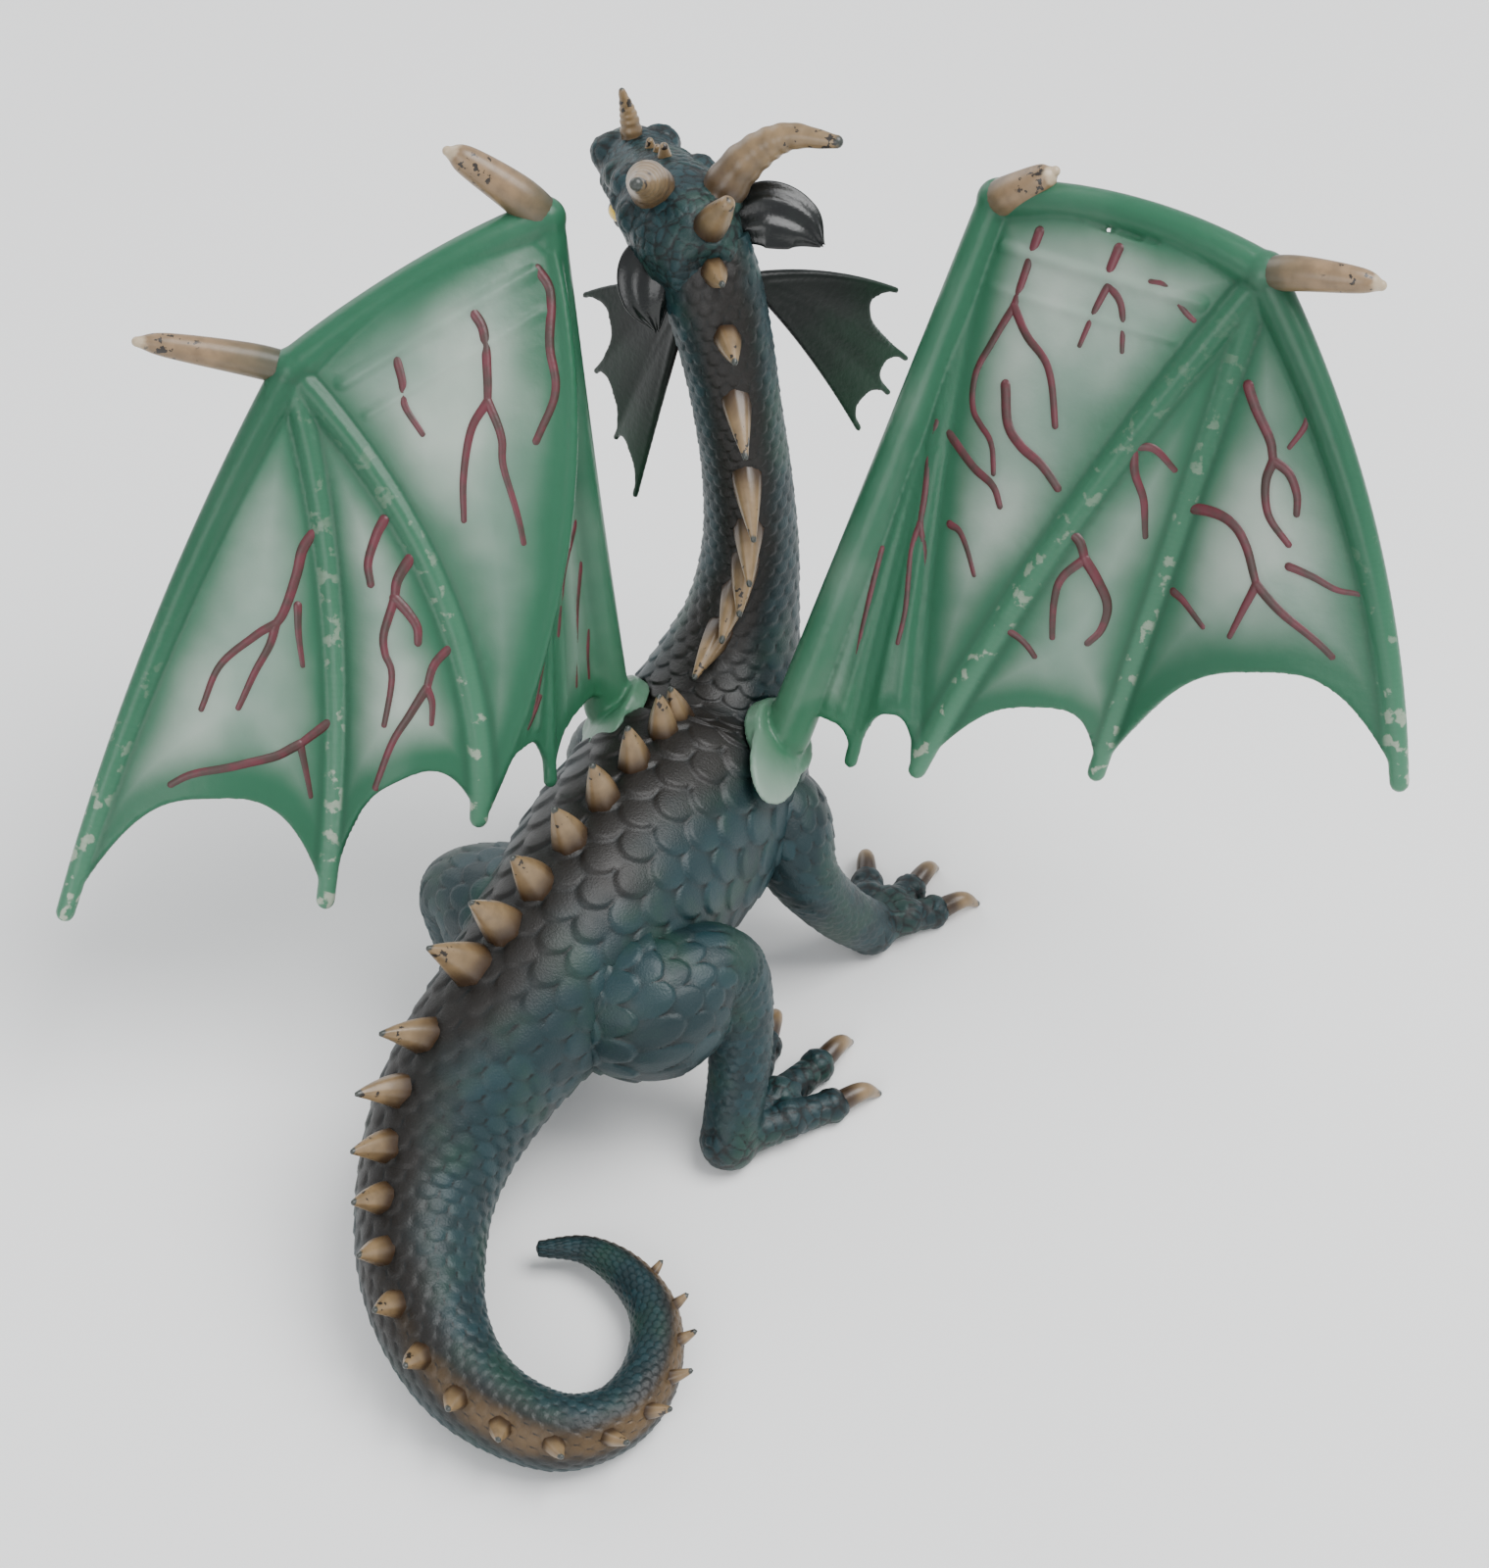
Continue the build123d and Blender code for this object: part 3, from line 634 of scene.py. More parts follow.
def spine_row(title, places, sizes, leans):
    """A row of spines as one piece."""
    shapes, alongs = zip(*(spine_shape(*spine) for spine in zip(places, sizes, leans)))
    marks = {"along": np.concatenate(alongs)}
    piece(title + "_detail", stack(shapes), FIGURE, HORN, (title,), marks)


# Places along the body line, sizes, and how far each spine leans
spine_row("neck_spines", (0.5, 1.65, 2.6, 3.7, 4.4, 4.9, 5.4, 6.1),
          (7, 7.3, 8, 8.5, 8.3, 8.3, 8.3, 8.5), (0.2, 0.3, 0.9, 0.9, 0.8, 0.75, 0.75, 0.8))
spine_row("back_spines", (9, 9.8, 10.5, 11.15, 11.8, 12.45, 13.15, 13.85),
          np.linspace(8, 11, 8), np.linspace(-0.1, 0.4, 8))
spine_row("tail_spines", np.linspace(15, 26.5, 16), np.linspace(9, 2, 16),
          np.linspace(0.5, 0.4, 16))

# ----------------------------------------------------------------------- legs
HIND_GIRTHS = (14, 14, 7.8, 5.7, 5)
FORE_GIRTHS = (9.8, 10.1, 6.4, 5.4, 5.1)
LEGS = {
    "right_hind": dict(
        line=[(4, 12, 31), (-6, 11, 31), (-16, 4, 32), (-20, 9, 19)], radii=HIND_GIRTHS,
        heel=(-20.5, 19.5), toes=[(-36.5, 6), (-32, -2.5), (-21.5, -5)]),
    "left_hind": dict(
        line=[(12, 2, 32), (24, -1, 32), (35.5, -5, 30), (32, 0, 17)], radii=HIND_GIRTHS,
        heel=(28, 4), toes=[(33, -12), (27, -16), (20, -14)]),
    "right_fore": dict(
        line=[(-8, -36, 36), (-17, -34, 33), (-24, -28.5, 25), (-30, -32, 13.5)], radii=FORE_GIRTHS,
        heel=(-35, -37), toes=[(-46, -45.5), (-40.5, -50), (-32, -50)]),
    "left_fore": dict(
        line=[(6, -42, 36), (15, -44, 33), (21, -51, 24), (18, -59, 13)], radii=FORE_GIRTHS,
        heel=(14, -65), toes=[(18, -77), (12, -79), (5, -76)]),
}
HEEL_HEIGHT = 4.8
TOE_HEIGHT = 2.5
CLAW_REACH = 10.0
# Where a claw leaves its toe, as a distance from the toe's end
CLAW_ROOT = 2.9

for title, leg in LEGS.items():
    heel = np.array([*leg["heel"], HEEL_HEIGHT])
    limb = leg["line"] + [tuple(heel)]
    shapes = [tube(limb, leg["radii"]), ball(heel, 5.3)]
    claws, alongs = [], []
    for toe in leg["toes"]:
        end = np.array([*toe, TOE_HEIGHT])
        ahead = unit(end - heel) * (1, 1, 0)
        middle = heel * 0.45 + end * 0.55 + UP * 0.5
        shapes.append(tube([heel, middle, end], [4.0, 3.2, 2.7]))
        shapes.append(ball(middle + UP * 0.5, (3.9, 3.9, 3.4)))
        shapes.append(ball(end + UP * 0.3, 3.2))
        tip = end + ahead * CLAW_REACH - UP * 1.8
        claw = tube([end, end + ahead * 6.3 + UP * 0.9, tip], [2.2, 1.75, 0.65], 18, 0.5)
        claws.append(claw)
        shown = (claw[0] - end) @ ahead - CLAW_ROOT
        alongs.append(np.clip(shown / 7.1, 0, 1))
    skin, skin_marks = limb_scaled(union(shapes, 0.4), limb, leg["radii"], 15, 2.4)
    piece(title + "_leg_skin", skin, FIGURE, SKIN, (title + "_leg",), skin_marks)
    piece(title + "_claw_detail", stack(claws), FIGURE, HORN, (title + "_claws",),
          {"along": np.concatenate(alongs)})


# ----------------------------------------------------------------------- head
def oval_tube(stations, up=UP, ring=40, step=0.7):
    """Closed loft through ovals given as x, y, z, half width, half height."""
    stations = np.asarray(stations, float)
    count = max(6, int(np.linalg.norm(np.diff(stations[:, :3], axis=0), axis=1).sum() / step))
    line = along_line(stations, np.linspace(0, len(stations) - 1, count))
    ahead = unit(np.gradient(line[:, :3], axis=0))
    up = np.asarray(up, float)
    top = unit(up - ahead * (ahead @ up)[:, None])
    side = np.cross(ahead, top)
    angle = np.linspace(0, 2 * math.pi, ring, endpoint=False)
    across = np.cos(angle)[None, :, None] * line[:, 3, None, None] * side[:, None, :]
    above = np.sin(angle)[None, :, None] * line[:, 4, None, None] * top[:, None, :]
    return (line[:, None, :3] + across + above).reshape(-1, 3), capped_faces(count, ring)


# Ovals from the nape to the nose and from the jaw's hinge to its tip
HEAD_LINE = [
    (3.5, -66, 130.5, 5.5, 6), (6.5, -71, 131.5, 8.8, 9), (11, -78, 132.5, 9.8, 9.4),
    (15.5, -86, 131.5, 9, 8), (20.5, -94.5, 129.5, 7.4, 6.2), (25, -102, 128, 7.2, 5.6),
    (28, -107.5, 127, 4.6, 3.8),
]
JAW_LINE = [
    (10, -76, 124, 6.6, 3.4), (14.5, -84.5, 122.5, 6.6, 3.2), (19.5, -94, 121, 5.6, 2.8),
    (24, -101.5, 121, 4.6, 2.4), (26.5, -106, 121.8, 2.4, 1.4),
]
EYE_MIDDLE = np.array([15, -85.5, 130.5])
EYE_SPACING = 8.4
EYE_RADIUS = 2.25
HORN_SEATS = (((4.6, -77.4, 137.5), 5.0), ((13.8, -75.5, 138.5), 5.0), ((24.7, -99.2, 132), 3.0))
LEFT = unit(np.array([0.88, 0.47, 0]))
AHEAD = unit(np.array([0.47, -0.88, 0]))
head_at = [np.array(s[:3], float) for s in HEAD_LINE]
shapes = [oval_tube(HEAD_LINE)]
eyes = {}
for side, label in ((1, "left"), (-1, "right")):
    eye = EYE_MIDDLE + LEFT * side * EYE_SPACING
    eyes[label] = eye
    shapes.append(ball(head_at[5] + LEFT * side * 4.4 + UP * 1.8, 3.9))
    shapes.append(ball(head_at[4] + LEFT * side * 5.2 + UP * 1.2, 3.2))
    shapes.append(ball(head_at[3] + LEFT * side * 6 + UP * 3.4, 3.6))
    shapes.append(ball(head_at[2] + LEFT * side * 6.4 + UP * 2, 4.6))
    lid = [eye - AHEAD * 2.9 - UP * 0.4, eye - AHEAD * 1.6 + UP * 1.9 + LEFT * side * 0.6,
           eye + AHEAD * 0.8 + UP * 2.2 + LEFT * side * 0.7, eye + AHEAD * 2.9 + UP * 0.3]
    shapes.append(tube(lid, [0.9, 1.15, 1.15, 0.8], 14))
    under = [eye - AHEAD * 2.6 - UP * 0.8, eye - UP * 2.3 + LEFT * side * 0.4,
             eye + AHEAD * 2.6 - UP * 0.6]
    shapes.append(tube(under, [0.8, 0.9, 0.8], 14))
    lip = [head_at[2] + LEFT * side * 6.8 - UP * 6.4, head_at[4] + LEFT * side * 5.8 - UP * 4.2,
           head_at[5] + LEFT * side * 5.4 - UP * 3.4, head_at[6] + LEFT * side * 2.4 - UP * 2.4]
    shapes.append(tube(lip, [1.3, 1.4, 1.4, 1.2], 14))
for foot, radius in HORN_SEATS:
    shapes.append(ball(foot, (radius, radius, radius * 0.7)))
head_skin = union(shapes, 0.38, 3)
nostrils = [head_at[5] + AHEAD * 2.6 + LEFT * side * 5.0 + UP * 3.6 for side in (1, -1)]
for hole in nostrils:
    gap = np.linalg.norm(head_skin[0] - hole, axis=1)
    head_skin[0][:] -= AHEAD * (1.6 * np.exp(-(gap / 1.3) ** 2))[:, None]
head_skin, head_marks = pebbled(head_skin, 2.1, 0.3, -AHEAD)
# Painted shade in the nostril hollows: the height mark, which darkens the skin where it is low, drops
# towards each nostril.
for hole in nostrils:
    gap = np.linalg.norm(head_skin[0] - hole, axis=1)
    head_marks["height"] *= 1 - 0.95 * np.exp(-(gap / 1.2) ** 2)
piece("head_skin", head_skin, FIGURE, SKIN, ("head",), head_marks)
jaw_skin, jaw_marks = pebbled(union([oval_tube(JAW_LINE)], 0.38, 3), 2.1, 0.25, -AHEAD)
piece("lower_jaw_skin", jaw_skin, FIGURE, SKIN, ("lower_jaw",), jaw_marks)

for label, side in (("left", 1), ("right", -1)):
    eyeball = ball(eyes[label], EYE_RADIUS, ring=40)
    look = unit(LEFT * side + AHEAD * 0.35 + UP * 0.15)
    slant = unit(np.cross(look, UP))
    away = eyeball[0] - eyes[label]
    upright = np.cross(slant, look)
    slit = 1 - np.sqrt((away @ slant / 0.75) ** 2 + (away @ upright / 2.6) ** 2) * 0.5
    slit = np.where(away @ look > 0, slit, 0)
    piece(label + "_eyeball", eyeball, FIGURE, EYE, (label + "_eye",), {"slit": slit})


HORN_RING = 28
EAR_RING = 60
HORNS = {
    "right_horn": ([(5, -77, 136), (0, -80, 144), (-7, -82, 149), (-16, -81, 150)], 4.2),
    "left_horn": ([(14, -77, 137), (14.5, -71, 144), (13, -63, 149), (12, -55, 154)], 4.2),
    "nose_horn": ([(24.5, -99, 131), (25.5, -100, 137.5), (26.5, -99.5, 143)], 2.3),
}
# Foot, lean and size of each small spike on the brow and crest
SPIKES = (
    ((19.5, -92.5, 134.2), (0, 0.2, 1), 2.8),
    ((17.3, -89, 136), (0, 0.2, 1), 2.4),
    ((15.1, -85.6, 137.4), (0, 0.2, 1), 3.2),
    ((3.3, -68.7, 138), (-0.42, 0.4, 0.8), 6.0),
)
EARS = {
    "right_ear": [(2, -78, 133), (-4, -80, 134.5), (-10, -81, 132.5), (-14, -81, 129)],
    "left_ear": [(12, -74, 130), (13.5, -69, 128), (13.5, -66, 123.5), (12, -65, 118)],
}
EAR_SHARES = (0.6, 1.0, 0.8, 0.1)

# Curved horns with growth rings, tapering to blunt ends
for title, (points, radius) in HORNS.items():
    shares = np.linspace(0, 1, len(points))
    verts, faces = tube(points, radius * (1 - 0.72 * shares ** 1.4), HORN_RING, 0.35)
    along = np.repeat(np.linspace(0, 1, len(verts) // HORN_RING), HORN_RING)
    rings = 0.16 * np.sin(along * 60 + 1.5 * np.sin(along * 11)) * np.clip(1.1 - along, 0, 1)
    verts = verts + normals_of(verts, faces) * rings[:, None]
    piece(title + "_detail", (verts, faces), FIGURE, HORN, (title,), {"along": along})

spikes, alongs = [], []
for foot, lean, size in SPIKES:
    foot, lean = np.array(foot), unit(np.array(lean))
    shape = tube([foot, foot + lean * size * 0.8, foot + lean * size * 1.6],
                 [size * 0.5, size * 0.42, size * 0.24], 20, 0.4)
    spikes.append(shape)
    alongs.append(np.clip((shape[0] - foot) @ lean / size / 1.9, 0, 1))
piece("brow_spike_detail", stack(spikes), FIGURE, HORN, ("brow_spikes",),
      {"along": np.concatenate(alongs)})

for title, points in EARS.items():
    stations = [(*p, 5.8 * s, 0.6 + 0.7 * s) for p, s in zip(points, EAR_SHARES)]
    verts, faces = oval_tube(stations, (-0.2, 0.7, 0.7), EAR_RING, 0.3)
    around = np.linspace(0, 2 * math.pi, EAR_RING, endpoint=False)
    around = np.tile(around, len(verts) // EAR_RING)
    verts = verts + normals_of(verts, faces) * (0.22 * np.cos(np.cos(around) * 8))[:, None]
    piece(title + "_detail", (verts, faces), FIGURE, EAR, (title,))


# --------------------------------------------------------- membranes and wings
def curve(start, end, bow=(0, 0, 0)):
    """Points of a bowed line as a function of the share along it."""
    start, end, bow = (np.array(p, float) for p in (start, end, bow))

    def at(t):
        return start + np.multiply.outer(t, end - start) + np.multiply.outer(4 * t * (1 - t), bow)

    return at


class Panel:
    """Web between two ribs that start together, with a scalloped far edge."""

    def __init__(self, first, second, depth, billow=(0, 0, 0)):
        self.first, self.second = first, second
        self.depth = depth
        self.billow = np.array(billow, float)

    def at(self, u, v):
        """Points at shares u across the web and v down it."""
        u, v = np.asarray(u, float), np.asarray(v, float)
        length = np.linalg.norm((self.first(1.0) + self.second(1.0)) / 2 - self.first(0.0))
        share = v * (1 - self.depth / length * (1 - np.abs(2 * u - 1) ** 3.2) * v)
        point = self.first(share) * (1 - u)[..., None] + self.second(share) * u[..., None]
        return point + (4 * u * (1 - u) * v)[..., None] * self.billow

    def slab(self, thickness, across=48, down=64):
        """The web as a closed shape."""
        u, v = np.meshgrid(np.linspace(0, 1, across), np.linspace(0.01, 1, down))
        middle = self.at(u, v)
        normal = unit(np.cross(np.gradient(middle, axis=1), np.gradient(middle, axis=0)))
        front = (middle + normal * thickness / 2).reshape(-1, 3)
        back = (middle - normal * thickness / 2).reshape(-1, 3)
        size = across * down
        front_faces = grid_faces(down, across, closed=False)
        faces = front_faces + [tuple(i + size for i in reversed(f)) for f in front_faces]
        rim = list(range(across))
        rim += [r * across + across - 1 for r in range(1, down)]
        rim += [(down - 1) * across + c for c in range(across - 2, -1, -1)]
        rim += [r * across for r in range(down - 2, 0, -1)]
        for a, b in zip(rim, rim[1:] + rim[:1]):
            faces.append((b, a, a + size, b + size))
        return np.vstack([front, back]), faces


def near(verts, lines):
    """Distance from every point to the nearest of several lines of points."""
    best = np.full(len(verts), 1e9)
    for line in lines:
        for point in line:
            best = np.minimum(best, ((verts - point) ** 2).sum(axis=1))
    return np.sqrt(best)


# Root of each frill, and the tips of its ribs from top to bottom
FRILLS = {
    "right_frill": ((-2.5, -74, 125),
                    [(-26, -89, 116), (-28, -91, 100), (-25.5, -88, 94), (-21, -84, 88)]),
    "left_frill": ((8, -72, 121), [(31, -86, 108), (28, -81, 95), (23, -75, 85), (18, -69, 77)]),
}
FRILL_SCALLOPS = (7, 4, 4)
FIN_ROOT = (6, -72, 119)
FIN_TIPS = [(14, -86, 117), (6, -78, 92), (-3, -69, 88)]
FIN_SCALLOPS = (5, 2)

for title, (root, tips) in FRILLS.items():
    ribs = [curve(root, tip, (0, -1.0, 1.2)) for tip in tips]
    shapes = []
    for rib_a, rib_b, depth in zip(ribs, ribs[1:], FRILL_SCALLOPS):
        shapes.append(Panel(rib_a, rib_b, depth, (0, 0.8, 0)).slab(1.3, 30, 60))
    for rib in ribs:
        shapes.append(tube(rib(np.linspace(0, 1, 8)), np.linspace(1.15, 0.6, 8), 16))
    verts, faces = union(shapes, 0.36, 2)
    far = np.linalg.norm(verts - np.array(root, float), axis=1)
    piece(title + "_detail", (verts, faces), FIGURE, FRILL, (title,),
          {"along": far / far.max()})

fin_ribs = [curve(FIN_ROOT, tip) for tip in FIN_TIPS]
fin = [Panel(a, b, depth).slab(1.4, 30, 50) for a, b, depth in zip(fin_ribs, fin_ribs[1:], FIN_SCALLOPS)]
piece("throat_fin_detail", union(fin, 0.36, 2), FIGURE, THROAT, ("throat_fin",))

# Steps from the middle of each wing's seat: the knuckles, then the tips of the
# fingers from the leading edge to the body, and how far each line bows
WINGS = {
    "left_wing": dict(
        side=1, elbow=(19.5, -31, 86), wrist=(57, -1.5, 69),
        fingers=[(84, 65, -4.5), (42, 49, -8), (17, 35, 4.5), (7, 24, 5.5)],
        bows=[(2, 1, 2), (-5, 0, 2), (-10, 0, 3), (0, 2, 1)], arm=(0, 0, 3),
        claws=[((8, 2, 9), (35, -28, 99)), ((13, 3, 4), (80.5, 7, 77))]),
    "right_wing": dict(
        side=-1, elbow=(-28.5, -48, 90), wrist=(-75, -29, 95),
        fingers=[(-110.5, 12, 26), (-59.5, -1, 4.5), (-28, 5, 4), (-15.5, 3, 1.5)],
        bows=[(-4.5, 1, 2), (0, 1, 1), (3, 1, 1), (0, 2, 1)], arm=(0, 0, 4.3),
        claws=[((-5, 3, 5), (-38, -45, 99)), ((-10, 5, 5), (-93.5, -24, 99))]),
}
# Raised veins of each wing: panel number from the leading edge inwards, radius
# at the thick end, and places as shares across and down the panel.
VEINS = {
    "left_wing": [
        (0, 1.15, [(0.99, 0.29), (0.83, 0.35), (0.78, 0.41), (0.71, 0.5), (0.67, 0.53)]),
        (0, 1.0, [(0.67, 0.53), (0.56, 0.56), (0.4, 0.63), (0.36, 0.74)]),
        (0, 1.0, [(0.67, 0.53), (0.65, 0.58), (0.59, 0.65), (0.54, 0.74)]),
        (0, 1.15, [(1.0, 0.65), (0.93, 0.71), (0.84, 0.79)]),
        (0, 1.05, [(0.84, 0.79), (0.73, 0.86), (0.58, 0.9), (0.4, 0.92), (0.31, 0.94)]),
        (0, 0.95, [(0.84, 0.79), (0.86, 0.82), (0.9, 0.88)]),
        (0, 0.95, [(0.79, 0.48), (0.8, 0.54), (0.83, 0.61)]),
        (1, 1.1, [(0.81, 0.34), (0.66, 0.37), (0.49, 0.42), (0.46, 0.47)]),
        (1, 1.15, [(0.89, 0.43), (0.71, 0.48), (0.64, 0.52)]),
        (1, 1.0, [(0.64, 0.52), (0.49, 0.59), (0.47, 0.64), (0.5, 0.7), (0.41, 0.82)]),
        (1, 1.1, [(0.64, 0.52), (0.71, 0.56), (0.75, 0.6), (0.73, 0.64)]),
        (1, 1.1, [(1.0, 0.61), (0.93, 0.64), (0.8, 0.7), (0.73, 0.76)]),
        (1, 1.0, [(0.73, 0.76), (0.6, 0.82), (0.46, 0.88), (0.34, 0.98)]),
        (1, 0.95, [(0.73, 0.76), (0.75, 0.8), (0.73, 0.86)]),
        (2, 1.0, [(0.35, 0.93), (0.32, 0.88), (0.28, 0.84), (0.29, 0.78)]),
        (2, 1.1, [(0.67, 0.92), (0.68, 0.88), (0.64, 0.81), (0.61, 0.77)]),
        (2, 1.0, [(0.61, 0.77), (0.5, 0.74), (0.39, 0.67), (0.32, 0.6)]),
        (2, 1.0, [(0.61, 0.77), (0.63, 0.7), (0.61, 0.64), (0.68, 0.5)]),
        (2, 1.1, [(0.93, 0.93), (0.96, 0.88), (0.92, 0.8), (0.92, 0.72), (0.8, 0.66)]),
        (3, 1.0, [(0.1, 0.17), (0.7, 0.22), (0.95, 0.3), (0.9, 0.36), (0.35, 0.44), (0.02, 0.5)]),
        (3, 1.1, [(1.0, 0.58), (0.45, 0.62), (0.3, 0.7), (0.05, 0.72)]),
        (3, 1.0, [(0.95, 0.68), (0.7, 0.76), (0.55, 0.84), (0.5, 0.92)]),
        (3, 0.95, [(0.65, 0.72), (0.35, 0.81), (0.05, 0.82)]),
        (3, 0.95, [(0.65, 0.9), (0.4, 0.95), (0.2, 0.95)]),
        (4, 1.0, [(0.95, 0.4), (0.8, 0.48), (0.45, 0.55), (0.02, 0.6)]),
        (4, 1.0, [(0.85, 0.5), (0.75, 0.6), (0.4, 0.68), (0.2, 0.78)]),
        (4, 0.95, [(0.8, 0.68), (0.6, 0.8), (0.5, 0.94)]),
        (4, 0.95, [(0.9, 0.76), (0.75, 0.88), (0.72, 0.95)]),
    ],
    "right_wing": [
        (0, 1.15, [(0.72, 0.22), (0.5, 0.33), (0.46, 0.39)]),
        (0, 1.05, [(0.46, 0.39), (0.51, 0.44), (0.49, 0.52), (0.38, 0.6)]),
        (0, 1.05, [(0.46, 0.39), (0.36, 0.42), (0.32, 0.47), (0.33, 0.52)]),
        (0, 1.15, [(0.95, 0.46), (0.71, 0.53), (0.6, 0.6), (0.53, 0.71)]),
        (0, 1.0, [(0.53, 0.71), (0.58, 0.79), (0.62, 0.87)]),
        (0, 1.05, [(0.53, 0.71), (0.42, 0.79), (0.33, 0.84), (0.21, 0.89)]),
        (0, 0.95, [(0.38, 0.66), (0.27, 0.68), (0.17, 0.69), (0.07, 0.66)]),
        (0, 0.95, [(0.12, 0.25), (0.17, 0.3), (0.34, 0.36)]),
        (0, 1.0, [(0.91, 0.66), (0.85, 0.71), (0.74, 0.82)]),
        (1, 1.1, [(0.98, 0.31), (0.88, 0.34)]),
        (1, 1.0, [(0.88, 0.34), (0.69, 0.4), (0.45, 0.46), (0.28, 0.54)]),
        (1, 1.0, [(0.88, 0.34), (0.61, 0.35), (0.28, 0.39)]),
        (1, 1.15, [(1.0, 0.5), (0.81, 0.55), (0.68, 0.6)]),
        (1, 1.0, [(0.68, 0.6), (0.77, 0.64), (0.73, 0.7), (0.61, 0.8)]),
        (1, 1.1, [(0.68, 0.6), (0.5, 0.65), (0.34, 0.71), (0.31, 0.77), (0.36, 0.81)]),
        (1, 1.0, [(1.0, 0.69), (0.89, 0.75), (0.66, 0.85)]),
        (2, 1.15, [(0.8, 0.97), (0.8, 0.92), (0.8, 0.84)]),
        (2, 1.0, [(0.8, 0.84), (0.85, 0.77), (0.89, 0.71), (0.85, 0.65), (0.7, 0.61),
                  (0.62, 0.56)]),
        (2, 1.05, [(0.8, 0.84), (0.7, 0.8), (0.55, 0.76), (0.39, 0.67)]),
        (2, 1.1, [(0.5, 0.98), (0.49, 0.94), (0.47, 0.92)]),
        (2, 0.95, [(0.47, 0.92), (0.47, 0.87), (0.46, 0.81)]),
        (2, 0.95, [(0.47, 0.92), (0.38, 0.89), (0.28, 0.82)]),
        (2, 0.95, [(0.33, 0.94), (0.27, 0.94), (0.15, 0.91), (0.1, 0.9)]),
        (2, 1.15, [(0.72, 0.71), (0.64, 0.65), (0.52, 0.62), (0.36, 0.6), (0.2, 0.57)]),
        (2, 1.05, [(0.98, 0.6), (0.77, 0.56), (0.6, 0.54), (0.5, 0.51)]),
        (2, 0.95, [(0.84, 0.45), (0.72, 0.44), (0.5, 0.38)]),
        (3, 1.1, [(0.95, 0.38), (0.95, 0.43), (0.62, 0.52), (0.54, 0.59)]),
        (3, 0.95, [(0.54, 0.59), (0.68, 0.64), (0.5, 0.76), (0.55, 0.84)]),
        (3, 0.95, [(0.54, 0.59), (0.2, 0.65), (0.02, 0.7)]),
        (4, 1.0, [(0.85, 0.42), (0.6, 0.56), (0.5, 0.64)]),
        (4, 0.95, [(0.5, 0.64), (0.4, 0.76), (0.3, 0.9)]),
        (4, 0.95, [(0.5, 0.64), (0.7, 0.74), (0.66, 0.86)]),
    ],
}

WEB_THICKNESS = 1.5
WEB_BILLOW = np.array([0, 3.5, 2.0])
FINGER_GIRTHS = (3.3, 2.5, 2.6)
FINGER_TIP_GIRTH = 1.7
CLAW_GIRTHS = (3.5, 2.9)
STEP = np.linspace(0, 1, 12)
FINE_STEP = np.linspace(0, 1, 90)
# Raised folds in the web between the last finger and the elbow, as a share down
# it and a girth, and soft pleats in the webs by the body, as a web and a share
# across it
FOLDS = ((0.93, 1.4), (0.86, 1.1))
PLEATS = ((3, 0.35), (3, 0.7), (4, 0.3), (4, 0.55), (4, 0.8))


class WingLayout:
    """The lines and webs that one wing is made from."""

    def __init__(self, title):
        wing = WINGS[title]
        self.seat = JOINT[title + "_swing"] - SHIFT
        self.way = unit(np.array([0.75 * wing["side"], 0, 0.66]))
        self.elbow, self.wrist = self.seat + wing["elbow"], self.seat + wing["wrist"]
        self.shoulder = self.seat + self.way * 4
        self.claws = [(rise, self.seat + np.array(end)) for rise, end in wing["claws"]]
        tips = [self.seat + tip for tip in wing["fingers"]]
        bows = wing["bows"]
        self.ribs = [curve(self.wrist, tips[k], bows[k]) for k in range(3)]
        self.fold = curve(self.elbow, tips[2], bows[2])
        self.last = curve(self.elbow, tips[3], bows[3])
        self.arm = curve(self.elbow, self.wrist, wing["arm"])
        back_rib = curve(tips[2], self.wrist, bows[2])
        back_fold = curve(tips[2], self.elbow, bows[2])
        self.panels = [
            Panel(self.ribs[0], self.ribs[1], 20, WEB_BILLOW),
            Panel(self.ribs[1], self.ribs[2], 15, WEB_BILLOW),
            Panel(back_rib, back_fold, 0, WEB_BILLOW),
            Panel(self.fold, self.last, 10, WEB_BILLOW * 0.4),
            Panel(self.last, curve(self.elbow, self.shoulder), 6, WEB_BILLOW * 0.3),
        ]


def flange(wing):
    """The flap at the wing's root, and the boss that turns in the seat."""
    seat, way = wing.seat, wing.way
    flap = ball(seat + way * 3.0 + REAR * 5, (1.5, 12, 6.5), (way, REAR, np.cross(way, REAR)))
    disc, faces = tube([seat + way * 0.4, seat + way * 3.4], [7.9, 7.6], 48)
    # The boss is cut flat just clear of the seat and under the wing.
    disc -= np.clip((disc - seat) @ way - 3.9, 0, None)[:, None] * way
    disc -= np.clip((disc - seat) @ way - 0.3, None, 0)[:, None] * way
    return [flap, (disc, faces)]


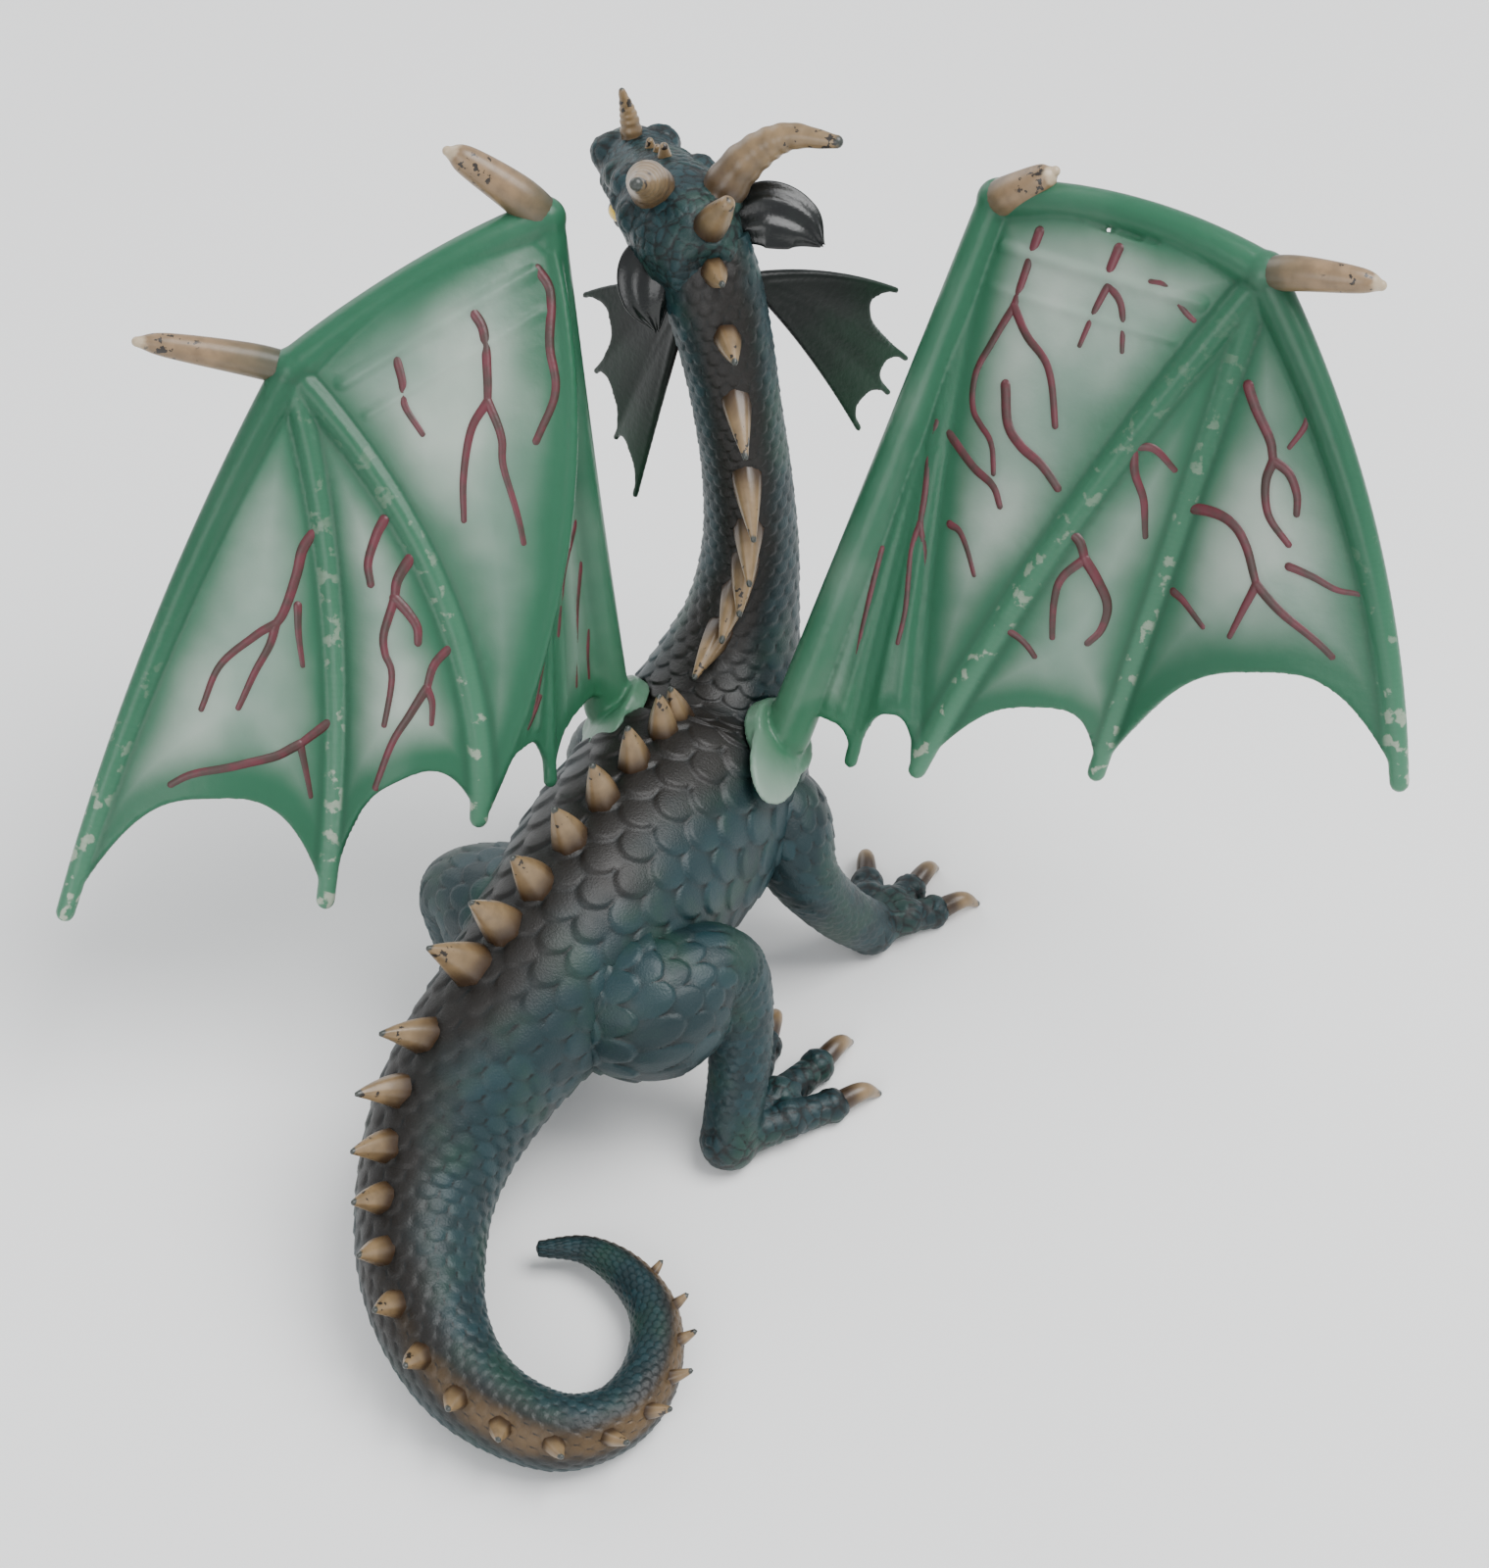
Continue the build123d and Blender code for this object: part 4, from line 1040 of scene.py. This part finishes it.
def wing_skin(wing):
    """One closed skin round the webs, fingers, folds and arm."""
    shapes = [panel.slab(WEB_THICKNESS) for panel in wing.panels]
    for rib, girth in zip(wing.ribs, FINGER_GIRTHS):
        shapes.append(tube(rib(STEP), girth - (girth - FINGER_TIP_GIRTH) * STEP, 20))
    for share, girth in FOLDS:
        line = wing.panels[2].at(0.12 + 0.8 * STEP, np.full(12, share))
        shapes.append(tube(line, np.full(12, girth), 14))
    for panel, share in PLEATS:
        line = wing.panels[panel].at(np.full(12, share), 0.45 + 0.52 * STEP)
        shapes.append(tube(line, np.full(12, 1.05), 12))
    shapes.append(tube(wing.fold(STEP), np.full(12, 1.35), 16))
    shapes.append(tube(wing.last(STEP), np.full(12, 1.3), 16))
    middle = (wing.shoulder + wing.elbow) / 2 + REAR * 0.8
    shapes.append(tube([wing.shoulder, middle, wing.elbow], [4.4, 3.9, 3.5], 24))
    shapes.append(tube(wing.arm(STEP), 3.5 - 0.5 * np.sin(STEP * math.pi), 24))
    shapes.append(ball(wing.wrist, 3.9))
    shapes.append(ball(wing.elbow, 3.9))
    return union(shapes + flange(wing), 0.5, 3)


def wing_marks(wing, verts):
    """How near each point lies to the creases, ribs, edges and root."""
    upper_arm = curve(wing.shoulder, wing.elbow)
    rib_lines = [line(FINE_STEP) for line in (*wing.ribs, wing.arm, upper_arm)]
    fold_lines = [wing.fold(FINE_STEP), wing.last(FINE_STEP)]
    scalloped = [wing.panels[k] for k in (0, 1, 3, 4)]
    edge_lines = [panel.at(FINE_STEP, np.ones(90)) for panel in scalloped]
    rib_gap = near(verts, rib_lines)
    gap = np.minimum(np.minimum(rib_gap, near(verts, fold_lines)), near(verts, edge_lines))
    root_gap = np.linalg.norm(verts - wing.seat, axis=1)
    # Painted shade: a dark band about 3 mm out from each finger line, where the finger meets the web.
    crease_shade = np.exp(-((near(verts, rib_lines[:3]) - 3.0) / 0.6) ** 2) * (rib_gap > 2)
    return {"crease": 0.75 * crease_shade, "rib": np.exp(-(rib_gap / 3.2) ** 2),
            "edge": np.exp(-(gap / 8.5) ** 1.2), "deep": np.exp(-(root_gap / 42) ** 2)}


def wing_veins(wing, veins):
    """Raised veins, each tapering along its length."""
    lines = []
    for panel, girth, places in veins:
        uv = along_line(np.array(places), np.linspace(0, len(places) - 1, 14))
        line = wing.panels[panel].at(uv[:, 0], uv[:, 1])
        lines.append(tube(line, np.linspace(girth + 0.12, girth - 0.08, 14), 14))
    return stack(lines)


def wing_claws(wing):
    """The claws at the elbow and wrist, and how far along each point is."""
    claws, alongs = [], []
    for start, girth, (rise, end) in zip((wing.elbow, wing.wrist), CLAW_GIRTHS, wing.claws):
        middle = start + np.array(rise)
        points = [start, start + np.array(rise) * 0.55, middle * 0.4 + end * 0.6, end]
        claw = tube(points, [girth, girth, girth * 0.72, 0.9], 20, 0.4)
        claws.append(claw)
        gap = np.linalg.norm(claw[0] - start, axis=1)
        alongs.append(np.clip(gap / np.linalg.norm(end - start), 0, 1))
    return stack(claws), np.concatenate(alongs)


for title in WINGS:
    wing = WingLayout(title)
    skin = wing_skin(wing)
    piece(title + "_skin", skin, title, WING, (title,), wing_marks(wing, skin[0]))
    piece(title + "_veins", wing_veins(wing, VEINS[title]), title, VEIN)
    claws, along = wing_claws(wing)
    piece(title + "_claw_detail", claws, title, WING_CLAW, (title + "_claws",),
          {"along": along})

# ---------------------------------------------------------------------- stage
bpy.ops.mesh.primitive_plane_add(size=4, location=(0, 0, 0))
floor = bpy.context.object
floor.name = "floor"
paper, paper_tree, paper_shader = nodes_for("floor_paper", 0.9)
soft_grain = blend(paper_tree, grain(paper_tree, 4), (0.88, 0.88, 0.87), (0.91, 0.91, 0.90))
paper_tree.links.new(soft_grain, paper_shader.inputs["Base Color"])
floor.data.materials.append(paper)


def lamp(name, place, aim, size, power):
    """A soft square light that shines from one point towards another."""
    light = bpy.data.lights.new(name, "AREA")
    light.size = size
    light.energy = power
    thing = bpy.data.objects.new(name, light)
    thing.location = place
    thing.rotation_euler = (Vector(aim) - Vector(place)).to_track_quat("-Z", "Y").to_euler()
    bpy.context.scene.collection.objects.link(thing)


lamp("key", (-0.5, -0.1, 1.0), (0, 0, 0.05), 0.7, 14)
lamp("fill", (0.9, -0.7, 0.7), (0, 0, 0.05), 0.9, 5)
lamp("rear", (0.2, 1.0, 0.6), (0, 0, 0.05), 0.7, 5)
world = bpy.data.worlds.new("studio")
world.use_nodes = True
world.node_tree.nodes["Background"].inputs["Color"].default_value = (0.94, 0.96, 1.0, 1)
world.node_tree.nodes["Background"].inputs["Strength"].default_value = 0.85
bpy.context.scene.world = world

CAMERA_AIM = (-10.6, -35.4, 40.0)
CAMERA_TURN = 193
CAMERA_TILT = 45
CAMERA_DISTANCE = 0.52

lens = bpy.data.cameras.new("camera")
lens.sensor_fit = "VERTICAL"
lens.sensor_height = 36
lens.lens = 64.35
camera = bpy.data.objects.new("camera", lens)
aim = Vector(((np.array(CAMERA_AIM) + SHIFT) / 1000).tolist())
turn, tilt = math.radians(CAMERA_TURN), math.radians(CAMERA_TILT)
level = math.cos(tilt)
back = Vector((math.sin(turn) * level, -math.cos(turn) * level, math.sin(tilt)))
camera.location = aim + back * CAMERA_DISTANCE
camera.rotation_euler = (-back).to_track_quat("-Z", "Y").to_euler()
bpy.context.scene.collection.objects.link(camera)
bpy.context.scene.camera = camera
